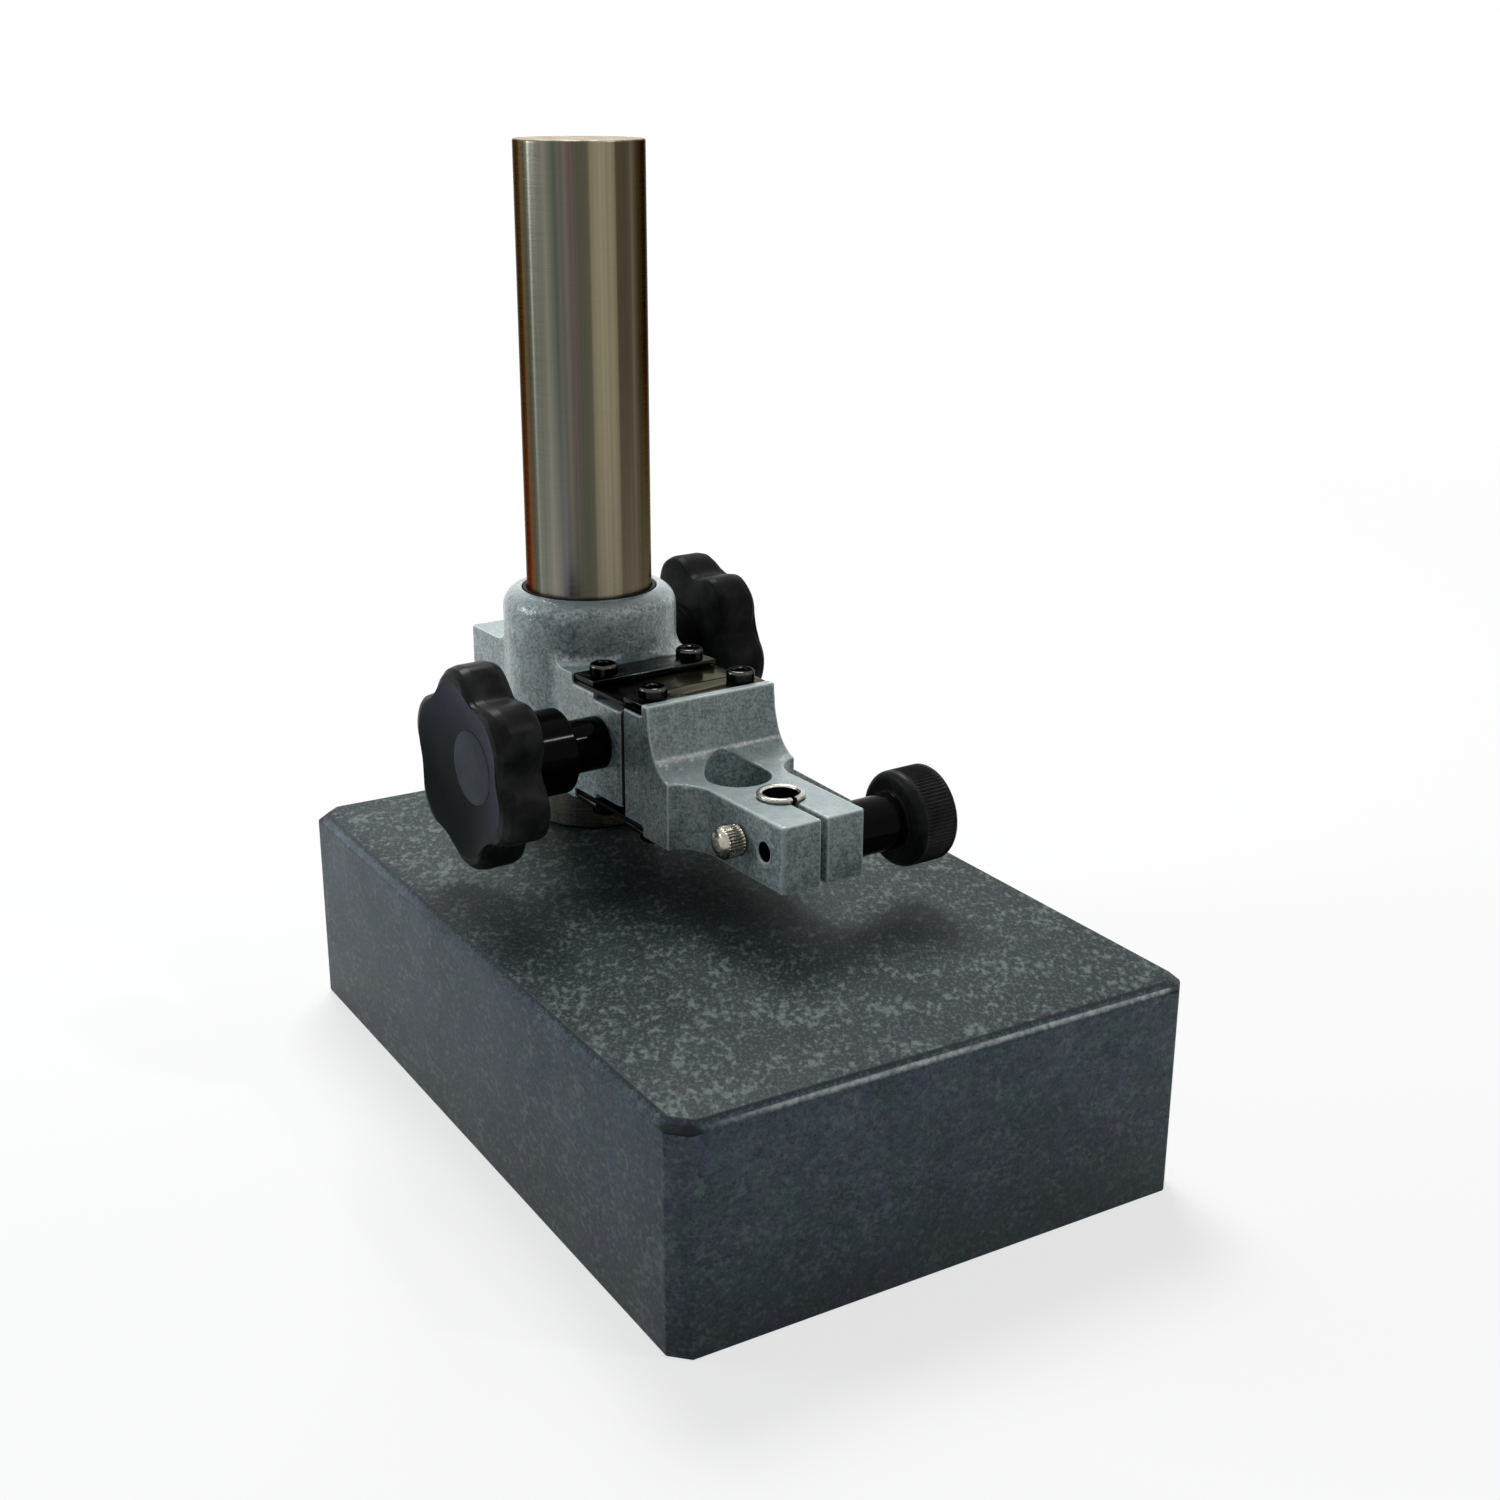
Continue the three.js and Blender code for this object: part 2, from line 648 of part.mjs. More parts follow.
function makeStarCap() {
  const radius = starCapDiameter / 2;
  const back = -starLength + starDishDepth + starCapThickness;
  const front = -starLength + starDishDepth;
  const dome = starDishDepth / 2;
  return turnedX([
    [0, front - dome / 2],
    [radius / 2, front - dome / 3],
    [radius - dome, front],
    [radius, front + dome],
    [radius, back],
    [0, back],
  ]);
}

// A grub screw holds the feed knob on its spindle from the side of the hub
function makeGrub() {
  const tip = -feedShaftDiameter / 2 - fitGap;
  return rodZ(grubDiameter / 2, [tip - grubLength, tip], -grubSetback, 0);
}

function makeGrubHole() {
  return rodZ(grubDiameter / 2 + fitGap, [-starHubDiameter, 0], -grubSetback, 0);
}

// The fine feed's sleeve stands on the bracket's left side, with a spigot in its bore
function makeFeedSleeve() {
  const bore = feedShaftDiameter / 2 + fitGap;
  const outer = feedSleeveDiameter / 2;
  const spigot = feedSpigotDiameter / 2;
  const outside = -halfBracket - fitGap;
  const outerEnd = -halfBracket - feedSleeveLength + fitGap;
  const innerEnd = -halfBracket + feedSpigotLength;
  return turnedX([
    [bore, outerEnd],
    [outer, outerEnd],
    [outer, outside],
    [spigot, outside],
    [spigot, innerEnd],
    [bore, innerEnd],
    [bore, outerEnd],
  ]);
}

// The eccentric lies level with the axis and towards the front, so that it lifts as the spindle turns
function makeFeedSpindle() {
  const knobEnd = -halfBracket - feedSleeveLength - feedShaftGrip;
  const eccentricEnd = tongueWidth / 2 + tonguePlay;
  const tailEnd = halfBracket + fitGap + 2 * ringThickness;
  const shaft = rodX(feedShaftDiameter / 2, [knobEnd, fitGap - eccentricEnd], 0, 0, mediumSides);
  const eccentric = rodX(feedEccentricDiameter / 2, [-eccentricEnd, eccentricEnd], -feedEccentricity, 0);
  const tail = rodX(feedTailDiameter / 2, [eccentricEnd - fitGap, tailEnd], 0, 0);
  return shaft.add(eccentric).add(tail);
}

function makeClampSpacer() {
  const bore = clampScrewDiameter / 2 + fitGap;
  const outer = clampSpacerDiameter / 2;
  return turnedX([[bore, 0], [outer, 0], [outer, clampSpacerLength], [bore, clampSpacerLength], [bore, 0]]);
}

function makeClampScrew() {
  const knobEnd = halfBracket + clampSpacerLength + 2 * fitGap + clampScrewGrip;
  return rodX(clampScrewDiameter / 2, [-clampScrewTip, knobEnd], 0, 0);
}

// Every piece is one named mesh in its own place
function place(parent, name, solid, finish, [x, y, z] = [0, 0, 0]) {
  const mesh = new THREE.Mesh(toGeometry(solid), new THREE.MeshStandardMaterial(finishes[finish]));
  mesh.name = name;
  mesh.position.set(x, y, z);
  parent.add(mesh);
  return mesh;
}

function addBase(stand) {
  const washerUnder = boltPocketDepth - fitGap - boltWasherThickness;
  const washer = makeWasher(boltWasherDiameter / 2, boltDiameter / 2 + fitGap, boltWasherThickness);
  place(stand, 'granite_base', makeGraniteBase(), 'granite');
  place(stand, 'column', makeColumn(), 'groundSteel', [0, columnPlace, baseHeight + fitGap]);
  place(stand, 'column_bolt', makeColumnBolt(), 'zincSteel', [0, columnPlace, washerUnder - fitGap]);
  place(stand, 'column_bolt_washer', washer, 'zincSteel', [0, columnPlace, washerUnder]);
}

function addSprings(arm) {
  const upperSpring = upperSeat + fitGap;
  const upperStrip = upperSpring + springThickness + fitGap;
  const lowerSpring = lowerSeat - fitGap - springThickness;
  const lowerStrip = lowerSpring - fitGap - stripThickness;
  place(arm, 'upper_leaf_spring', makeSpring(), 'springSteel', [0, 0, upperSpring]);
  place(arm, 'lower_leaf_spring', makeSpring(), 'springSteel', [0, 0, lowerSpring]);

  const head = upperStrip + stripThickness + fitGap;
  const length = head - upperSeat + screwGrip - fitGap;
  for (const [end, front, rear, reach] of [
    ['rear', springRear + rearStripLength, springRear, rearScrewReach],
    ['front', springFront, armBlockBack, frontScrewReach],
  ]) {
    const strip = makeStrip(front, rear, reach);
    place(arm, `upper_strip_${end}`, strip, 'springSteel', [0, 0, upperStrip]);
    place(arm, `lower_strip_${end}`, strip, 'springSteel', [0, 0, lowerStrip]);
    for (const [side, x] of [['left', -screwSpacing / 2], ['right', screwSpacing / 2]]) {
      const under = [x, -reach, bracketHeight - head];
      const screw = makeScrew(length);
      place(arm, `upper_screw_${end}_${side}`, screw, 'blackOxide', [x, -reach, head]);
      place(arm, `lower_screw_${end}_${side}`, screw, 'blackOxide', under).rotation.x = Math.PI;
    }
  }
}

function addStemClamp(arm) {
  place(arm, 'stem_bush', makeStemBush(), 'nickel', [0, -bushReach, 0]);
  place(arm, 'bush_set_screw', makeSetScrew(), 'nickel', [-halfArm - fitGap, -bushReach, armMiddle]);
  place(arm, 'stem_clamp_screw', makeStemClampScrew(), 'blackOxide', [0, -stemClampReach, armMiddle]);
  const hubPlace = [halfArm + fitGap, -stemClampReach, armMiddle];
  place(arm, 'stem_clamp_knob', makeStemClampKnob(), 'blackPlastic', hubPlace);
}

function addFineFeed(arm) {
  const axis = [0, -feedReach, feedHeight];
  const knobPlace = [-halfBracket - feedSleeveLength, -feedReach, feedHeight];
  const knobBore = feedShaftDiameter / 2 + fitGap;
  const ring = makeWasher(ringDiameter / 2, feedTailDiameter / 2 + fitGap, ringThickness);
  place(arm, 'feed_sleeve', makeFeedSleeve(), 'blackPlastic', axis);
  place(arm, 'feed_spindle', makeFeedSpindle(), 'zincSteel', axis);
  const knobTurn = THREE.MathUtils.degToRad(feedKnobTurn);
  const knob = makeStarKnob(knobBore, feedShaftGrip + fitGap).subtract(makeGrubHole());
  place(arm, 'feed_knob', knob, 'blackPlastic', knobPlace).rotation.x = knobTurn;
  place(arm, 'feed_knob_cap', makeStarCap(), 'blackPlastic', knobPlace).rotation.x = knobTurn;
  place(arm, 'feed_knob_grub', makeGrub(), 'blackOxide', knobPlace).rotation.x = knobTurn;
  const ringPlace = [halfBracket + fitGap, -feedReach, feedHeight];
  place(arm, 'feed_ring', ring, 'zincSteel', ringPlace).rotation.y = Math.PI / 2;
}

function addColumnClamp(arm) {
  const spacerPlace = halfBracket + fitGap;
  const knobPlace = spacerPlace + clampSpacerLength + fitGap;
  const knobBore = clampScrewDiameter / 2 + fitGap;
  place(arm, 'clamp_spacer', makeClampSpacer(), 'blackPlastic', [spacerPlace, clampReach, clampHeight]);
  place(arm, 'clamp_screw', makeClampScrew(), 'zincSteel', [0, clampReach, clampHeight]);
  const knobTurn = THREE.MathUtils.degToRad(clampKnobTurn);
  const knobSolids = {
    clamp_knob: makeStarKnob(knobBore, clampScrewGrip + fitGap),
    clamp_knob_cap: makeStarCap(),
  };
  for (const [name, solid] of Object.entries(knobSolids)) {
    const mesh = place(arm, name, solid, 'blackPlastic', [knobPlace, clampReach, clampHeight]);
    mesh.rotation.set(knobTurn, 0, Math.PI);
  }
}

const stand = new THREE.Group();
const arm = new THREE.Group();
arm.position.set(0, columnPlace, baseHeight + armClearance);
arm.rotation.z = THREE.MathUtils.degToRad(armSwing);
stand.add(arm);

addBase(stand);
place(arm, 'collar_liner', makeCollarLiner(), 'blackPlastic');
place(arm, 'bracket', makeBracket(), 'hammeredPaint');
place(arm, 'front_arm', makeFrontArm(), 'hammeredPaint');
addSprings(arm);
addStemClamp(arm);
addFineFeed(arm);
addColumnClamp(arm);

export default stand;
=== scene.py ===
import math

import bmesh
import bpy
from mathutils import Matrix, Vector


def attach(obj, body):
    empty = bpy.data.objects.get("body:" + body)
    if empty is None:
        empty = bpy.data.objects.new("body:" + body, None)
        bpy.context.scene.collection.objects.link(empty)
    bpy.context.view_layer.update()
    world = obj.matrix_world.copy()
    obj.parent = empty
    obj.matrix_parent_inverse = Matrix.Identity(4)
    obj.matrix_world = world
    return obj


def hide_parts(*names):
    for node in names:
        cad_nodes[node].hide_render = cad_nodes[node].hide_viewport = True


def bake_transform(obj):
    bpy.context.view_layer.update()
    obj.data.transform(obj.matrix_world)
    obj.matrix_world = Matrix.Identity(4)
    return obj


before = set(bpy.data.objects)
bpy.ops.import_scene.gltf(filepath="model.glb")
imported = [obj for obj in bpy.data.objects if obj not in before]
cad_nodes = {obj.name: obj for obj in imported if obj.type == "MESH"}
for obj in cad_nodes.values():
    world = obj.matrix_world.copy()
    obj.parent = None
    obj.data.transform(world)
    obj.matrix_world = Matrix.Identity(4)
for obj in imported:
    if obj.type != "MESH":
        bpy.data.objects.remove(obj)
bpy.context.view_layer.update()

# ---------------------------------------------------------------- places and sizes

# Everything is modelled in millimetres and scaled to metres when its mesh is made. The
# materials read object coordinates, so their heights and places are in metres.
MM = Matrix.Scale(0.001, 4)
WORLD = Matrix.Identity(4)
FLIP = Matrix.Rotation(math.pi, 4, "X")
# Turned pieces are drawn along their own +Z, which these two lay along the arm's +X or -X.
TO_PLUS_X = Matrix(((0, 0, 1, 0), (1, 0, 0, 0), (0, 1, 0, 0), (0, 0, 0, 1)))
TO_MINUS_X = Matrix(((0, 0, -1, 0), (-1, 0, 0, 0), (0, 1, 0, 0), (0, 0, 0, 1)))

COLUMN_Y, COLUMN_FOOT = 70.7, 60.3
COLUMN_RADIUS, COLUMN_LENGTH = 18.5, 198
BOLT_SEAT = 20.9

# The bracket and its arm stand on the column's axis, swung a little to the right. The places
# below are in their own axes, whose origin is on the column's axis at the arm's underside.
ARM = Matrix.Translation((0, COLUMN_Y, 75.7)) @ Matrix.Rotation(math.radians(3.3), 4, "Z")
# The lower springs and screws mirror the upper ones: together their heights make this sum.
MIRROR_SUM = 37.8
LEAF_HEIGHTS = (("upper", 35.6), ("lower", 2.2))
# The free length of the leaf springs, between the rear and the front strips.
CLAMPED, FREE_END = -37.0, -53.4
HEAD_SEAT, SHANK = 38.3, 12.2
SCREW_SIDE = 14.45
SCREW_ROWS = (("rear", -32.4, "bracket"), ("front", -59.0, "front_arm"))
STEM_Y, STEM_CLAMP_Y = -99.4, -110.4
TIP_SIDE, TIP_MIDDLE = 13.4, 9.35
FEED_Y, FEED_Z = -40.5, 21.3
CLAMP_Y, CLAMP_Z = 27.6, 23
# The star knobs' hubs start this far to either side.
STAR_SIDE = 34
# The machined faces at the gap between the two castings, each as a range along the arm that
# reaches a little past them: painted near black as the shade in the gap.
BRACKET_GAP_SHADE, FRONT_ARM_GAP_SHADE = (-52.4, -51.4), (-54.2, -53.0)


def on_arm(x, y, z, direction=WORLD):
    return ARM @ Matrix.Translation((x, y, z)) @ direction


# ---------------------------------------------------------------- material helpers

class Net:
    """A node tree in the making. Its methods add nodes and return the socket that they give."""

    def __init__(self, tree):
        self.tree = tree
        self.shader = tree.nodes.get("Principled BSDF")

    def add(self, kind, **settings):
        node = self.tree.nodes.new(kind)
        for key, value in settings.items():
            setattr(node, key, value)
        return node

    def feed(self, socket, value):
        """Links another node's socket to the input, or sets the input's own value."""
        if isinstance(value, bpy.types.NodeSocket):
            self.tree.links.new(value, socket)
        else:
            socket.default_value = value

    def math(self, operation, *values):
        node = self.add("ShaderNodeMath", operation=operation)
        for socket, value in zip(node.inputs, values):
            self.feed(socket, value)
        return node.outputs[0]

    def times(self, first, *others):
        for other in others:
            first = self.math("MULTIPLY", first, other)
        return first

    def mix(self, factor, a, b, blend="MIX"):
        node = self.add("ShaderNodeMix", data_type="RGBA", blend_type=blend)
        self.feed(node.inputs[0], factor)
        # A Mix node's colours are its inputs 6 and 7 and its output 2
        for socket, value in ((node.inputs[6], a), (node.inputs[7], b)):
            self.feed(socket, (*value, 1) if isinstance(value, tuple) else value)
        return node.outputs[2]

    def tinted(self, colour, tint, strength=1.0):
        return self.mix(strength, colour, tint, "MULTIPLY")

    def ramp(self, factor, stops):
        """A ramp through (position, grey or colour) stops."""
        node = self.add("ShaderNodeValToRGB")
        elements = node.color_ramp.elements
        while len(elements) < len(stops):
            elements.new(0.5)
        for element, (position, value) in zip(elements, stops):
            element.position = position
            element.color = (*value, 1) if isinstance(value, tuple) else (value, value, value, 1)
        self.feed(node.inputs[0], factor)
        return node.outputs[0]

    def window(self, value, low, high, soft):
        """1 between low and high, 0 outside, with soft borders."""
        borders = []
        for middle, before, after in ((low, 0, 1), (high, 1, 0)):
            node = self.add("ShaderNodeMapRange", interpolation_type="SMOOTHSTEP")
            for name, number in (("From Min", middle - soft), ("From Max", middle + soft),
                                 ("To Min", before), ("To Max", after)):
                node.inputs[name].default_value = number
            self.feed(node.inputs["Value"], value)
            borders.append(node.outputs["Result"])
        return self.times(*borders)

    def place(self):
        return self.add("ShaderNodeTexCoord").outputs["Object"]

    def coordinates(self, scale=(1, 1, 1), location=(0, 0, 0), turn=0.0, kind="POINT"):
        """Object coordinates for a texture. The kind TEXTURE turns them before it scales them."""
        mapping = self.add("ShaderNodeMapping", vector_type=kind)
        for name, value in (("Scale", scale), ("Location", location), ("Rotation", (0, 0, turn))):
            mapping.inputs[name].default_value = value
        self.feed(mapping.inputs["Vector"], self.place())
        return mapping.outputs[0]

    def noise(self, where, size_mm, detail, roughness, distortion=0.0):
        node = self.add("ShaderNodeTexNoise")
        self.feed(node.inputs["Vector"], where)
        for name, value in (("Scale", 1000 / size_mm), ("Detail", detail),
                            ("Roughness", roughness), ("Distortion", distortion)):
            node.inputs[name].default_value = value
        return node.outputs["Fac"]

    def parts(self, vector):
        node = self.add("ShaderNodeSeparateXYZ")
        self.feed(node.inputs[0], vector)
        return node.outputs

    def normal(self):
        return self.parts(self.add("ShaderNodeNewGeometry").outputs["Normal"])

    def pointiness(self):
        return self.add("ShaderNodeNewGeometry").outputs["Pointiness"]

    def background_rays(self):
        """1 for the rays that see the background: the camera's, and those in gloss and glass."""
        path = self.add("ShaderNodeLightPath").outputs
        rays = self.math("MAXIMUM", path["Is Camera Ray"], path["Is Glossy Ray"])
        return self.math("MAXIMUM", rays, path["Is Transmission Ray"])

    def mix_shader(self, factor, a, b):
        node = self.add("ShaderNodeMixShader")
        for socket, value in zip(node.inputs, (factor, a, b)):
            self.feed(socket, value)
        return node.outputs[0]

    def bump(self, height, distance_mm, strength, before=None):
        node = self.add("ShaderNodeBump")
        node.inputs["Strength"].default_value = strength
        node.inputs["Distance"].default_value = distance_mm / 1000
        self.feed(node.inputs["Height"], height)
        if before is not None:
            self.feed(node.inputs["Normal"], before)
        self.feed(self.shader.inputs["Normal"], node.outputs[0])
        return node.outputs[0]

    def constants(self, values):
        """Sets numbers and colours on the shader's own sockets."""
        for name, value in values.items():
            self.shader.inputs[name].default_value = value

    def finish(self, colour, roughness, values):
        self.feed(self.shader.inputs["Base Color"], colour)
        self.feed(self.shader.inputs["Roughness"], roughness)
        self.constants(values)


def new_material(name):
    material = bpy.data.materials.new(name)
    material.use_nodes = True
    return material, Net(material.node_tree)


# ---------------------------------------------------------------- materials

def granite_material():
    """Dark granite: mottled, with soft pale flecks, and paler on the sides than on the top."""
    material, net = new_material("granite")
    where = net.coordinates()
    cloud = net.noise(where, 26, 4, 0.6)
    hue = net.noise(net.coordinates(location=(0.3, 0.1, 0.2)), 9, 3, 0.6)
    grain = net.noise(where, 2.6, 5, 0.7, 0.3)
    fine = net.noise(where, 0.8, 3, 0.6)
    # The flecks are drawn out along the lie of the stone's grain
    stretch, lie = (1, 1.8, 1), -0.52
    flecks = net.noise(net.coordinates(stretch, (0.7, 0.2, 0.5), lie, "TEXTURE"), 1.5, 2, 0.5)
    dust = net.noise(net.coordinates(stretch, (0.1, 0.9, 0.4), lie, "TEXTURE"), 0.85, 1, 0.5)
    crowd = net.noise(net.coordinates(location=(0.4, 0.4, 0.8)), 8, 3, 0.6)

    # The faces: the top, the chamfer round it, the chamfer's front and its corner facets
    across, along, height = net.parts(net.place())
    sideways, toward, up = net.normal()
    top = net.ramp(up, [(0.9, 0.0), (0.97, 1.0)])
    chamfer = net.window(up, 0.3, 0.93, 0.03)
    front = net.times(chamfer, net.math("LESS_THAN", toward, -0.62))
    outward = net.math("ADD", net.math("ABSOLUTE", across), net.math("ABSOLUTE", along))
    corner = net.times(chamfer, net.ramp(net.times(outward, 5.0), [(0.906, 0.0), (0.914, 1.0)]))

    lapped = net.ramp(grain, [(0.3, (0.0065, 0.0105, 0.0115)), (0.5, (0.0155, 0.024, 0.0255)),
                              (0.7, (0.03, 0.043, 0.043))])
    side = net.ramp(grain, [(0.3, (0.035, 0.047, 0.058)), (0.5, (0.057, 0.075, 0.09)),
                            (0.7, (0.085, 0.109, 0.124))])
    # The sides are painted darker low down, and the left one darker than the rest: painted shade
    low = net.ramp(net.times(height, 16.0), [(0.0, 0.64), (0.85, 1.1)])
    left = net.ramp(net.times(sideways, -1.0), [(0.7, 1.0), (0.95, 0.8)])
    side = net.tinted(net.tinted(side, low), left)
    colour = net.mix(top, side, lapped)
    clouds = net.ramp(cloud, [(0.35, (0.82, 0.83, 0.84)), (0.65, (1.18, 1.18, 1.16))])
    hues = net.ramp(hue, [(0.36, (1.12, 0.93, 1.14)), (0.5, (1, 1, 1)), (0.66, (0.9, 1.07, 0.97))])
    colour = net.tinted(net.tinted(colour, clouds), hues)

    # Soft pale flecks stand in loose crowds, and finer ones lie everywhere
    level = net.math("MULTIPLY_ADD", crowd, 0.6, flecks)
    pale = net.ramp(level, [(0.82, 0.0), (1.0, 1.0)])
    small = net.ramp(dust, [(0.5, 0.0), (0.8, 0.7)])
    strength = net.ramp(top, [(0.0, 0.34), (1.0, 0.62)])
    pale = net.times(net.math("MAXIMUM", pale, small), strength)
    colour = net.mix(pale, colour, (0.18, 0.228, 0.218))
    dark = net.times(net.ramp(fine, [(0.33, 0.8), (0.47, 0.0)]), 0.6)
    colour = net.mix(dark, colour, (0.012, 0.016, 0.016))

    # The top edge: a thin ragged dark stripe, a painted highlight at the front, painted corner
    # shade
    dark_heights, highlight_heights, highlight_reach = (0.0592, 0.061), (0.058, 0.0588), (-0.056, 0.1)
    wander = net.math("SUBTRACT", dust, 0.5)
    ragged = net.math("MULTIPLY_ADD", wander, 0.0022, height)
    edge = net.times(net.window(ragged, *dark_heights, 0.0003), chamfer, 0.75)
    colour = net.mix(edge, colour, (0.013, 0.015, 0.014))
    # A painted highlight: a pale stripe along the front chamfer
    steady = net.math("MULTIPLY_ADD", wander, 0.0006, height)
    painted_highlight_line = net.times(front, net.window(steady, *highlight_heights, 0.0005),
                     net.window(across, *highlight_reach, 0.016),
                     net.ramp(flecks, [(0.35, 0.45), (0.6, 1.0)]))
    colour = net.mix(painted_highlight_line, colour, (0.47, 0.51, 0.5))
    # Painted shade on the corner facets of the chamfer
    colour = net.mix(net.times(corner, 0.85), colour, (0.008, 0.009, 0.008))

    net.finish(colour, net.ramp(grain, [(0.3, 0.4), (0.7, 0.56)]), {"Specular IOR Level": 0.1})
    net.bump(fine, 0.03, 0.35)
    return material


def hammered_material():
    """Hammered enamel: pale blue grey, glossy on its small raised spots. Painted shade darkens
    its hollows, and painted highlights lighten its raised spots, most on upright faces.
    """
    material, net = new_material("hammered_paint")
    where = net.coordinates()
    swirl = net.noise(where, 2.4, 3, 0.6, 0.9)
    fine = net.noise(where, 0.85, 3, 0.62, 0.3)
    cloud = net.noise(where, 7.5, 3, 0.55)
    blue = net.noise(net.coordinates(location=(0.2, 0.6, 0.1)), 4, 3, 0.6, 0.5)
    sideways, toward, up = net.normal()
    height = net.parts(net.place())[2]

    # Dark hollows and pale raised spots: partly the paint's own speckle, partly painted shade and
    # painted highlights, so they show most on upright faces
    upright = net.ramp(net.math("ABSOLUTE", up), [(0.35, 1.0), (0.95, 0.25)])
    colour = net.ramp(blue, [(0.38, (0.316, 0.4, 0.422)), (0.62, (0.393, 0.468, 0.45))])
    level = net.math("MULTIPLY_ADD", fine, 0.62, net.times(swirl, 0.38))
    level = net.math("MULTIPLY_ADD", net.math("SUBTRACT", cloud, 0.5), 0.22, level)
    dent_shade = net.ramp(level, [(0.4, 1.0), (0.57, 0.0)])
    colour = net.mix(net.times(dent_shade, net.times(upright, 0.72)), colour, (0.071, 0.093, 0.096))
    hump_highlight = net.ramp(level, [(0.55, 0.0), (0.68, 0.5)])
    colour = net.mix(net.times(hump_highlight, upright), colour, (0.56, 0.665, 0.655))
    # Sharp outer edges carry thinner, paler paint, and a painted highlight where light catches them
    edge_wear_and_highlight = net.ramp(net.pointiness(), [(0.508, 0.0), (0.54, 0.8)])
    colour = net.mix(edge_wear_and_highlight, colour, (0.65, 0.74, 0.73))

    def bend(heights, soft, slopes, ease):
        """The part of a range of heights where the normal's rise is in a range, softly."""
        return net.times(net.window(height, *heights, soft), net.window(up, *slopes, ease))

    # A painted highlight: a glint along the bend at the foot of the block's front
    painted_glint_line = net.times(bend((0.0989, 0.0997), 0.0004, (0.3, 0.88), 0.1),
                       net.math("LESS_THAN", toward, -0.3),
                       net.ramp(fine, [(0.4, 0.45), (0.6, 1.0)]))
    colour = net.mix(painted_glint_line, colour, (0.95, 0.98, 0.98))
    # Painted glints too: on the paint's raised spots on the round at the collar's top, on the
    # fillet at its foot and along the bracket's upper left edge
    rim = bend((0.1255, 0.1302), 0.0008, (0.3, 0.72), 0.12)
    foot = bend((0.1138, 0.1168), 0.0006, (0.25, 0.9), 0.1)
    collar = net.times(net.math("MAXIMUM", rim, foot),
                       net.ramp(level, [(0.44, 0.0), (0.66, 0.75)]),
                       net.math("LESS_THAN", toward, -0.2))
    painted_edge_glints = net.times(bend((0.1085, 0.1148), 0.0006, (0.2, 0.93), 0.06),
                      net.math("LESS_THAN", sideways, -0.25),
                      net.ramp(level, [(0.42, 0.3), (0.62, 0.85)]))
    colour = net.mix(net.math("MAXIMUM", collar, painted_edge_glints), colour, (0.82, 0.88, 0.88))

    net.finish(colour, net.ramp(level, [(0.4, 0.4), (0.6, 0.3)]),
               {"Specular IOR Level": 0.1, "Coat Weight": 0.7, "Coat Roughness": 0.06})
    swirls = net.bump(swirl, 0.3, 1.0)
    net.feed(net.shader.inputs["Coat Normal"], swirls)
    net.bump(fine, 0.18, 1.0, swirls)
    return material


# Painted reflections on the column, upright stripes as (place across the side shown, colour)
UPPER_REFLECTION_BANDS = [
    (0.02, (0.09, 0.07, 0.045)), (0.08, (0.135, 0.1, 0.065)), (0.115, (0.065, 0.062, 0.046)),
    (0.138, (0.1, 0.1, 0.08)), (0.148, (0.26, 0.26, 0.21)), (0.162, (0.12, 0.12, 0.095)),
    (0.22, (0.115, 0.112, 0.09)), (0.27, (0.17, 0.165, 0.13)), (0.34, (0.075, 0.086, 0.066)),
    (0.42, (0.12, 0.105, 0.088)), (0.46, (0.11, 0.08, 0.072)), (0.53, (0.072, 0.07, 0.048)),
    (0.603, (0.088, 0.08, 0.055)), (0.615, (0.2, 0.178, 0.112)), (0.7, (0.23, 0.205, 0.132)),
    (0.785, (0.185, 0.162, 0.1)), (0.797, (0.065, 0.05, 0.032)), (0.87, (0.062, 0.048, 0.032)),
    (0.905, (0.11, 0.092, 0.066)), (0.94, (0.05, 0.04, 0.026)), (0.985, (0.06, 0.05, 0.034))]
LOWER_REFLECTION_BANDS = [
    (0.02, (0.16, 0.07, 0.044)), (0.08, (0.19, 0.082, 0.05)), (0.115, (0.1, 0.086, 0.062)),
    (0.14, (0.11, 0.115, 0.094)), (0.155, (0.2, 0.205, 0.17)), (0.2, (0.13, 0.135, 0.108)),
    (0.27, (0.215, 0.205, 0.165)), (0.33, (0.16, 0.152, 0.14)), (0.38, (0.125, 0.118, 0.125)),
    (0.45, (0.1, 0.098, 0.075)), (0.54, (0.07, 0.072, 0.05)), (0.6, (0.09, 0.086, 0.062)),
    (0.615, (0.17, 0.15, 0.108)), (0.7, (0.215, 0.19, 0.14)), (0.785, (0.185, 0.158, 0.115)),
    (0.8, (0.1, 0.078, 0.055)), (0.88, (0.125, 0.1, 0.074)), (0.95, (0.105, 0.086, 0.064)),
    (0.985, (0.2, 0.19, 0.16))]
# The painted reflections on the side behind are plainer. Their places are shares of the whole turn.
REAR_REFLECTION_BANDS = [
    (0.5, (0.1, 0.085, 0.062)), (0.56, (0.2, 0.18, 0.13)), (0.62, (0.11, 0.1, 0.075)),
    (0.7, (0.15, 0.145, 0.12)), (0.8, (0.08, 0.07, 0.05)), (0.86, (0.14, 0.13, 0.1))]
# The direction, seen from the column's axis, that is the middle of the side shown
SHOWN_MIDDLE = math.radians(-121.1)


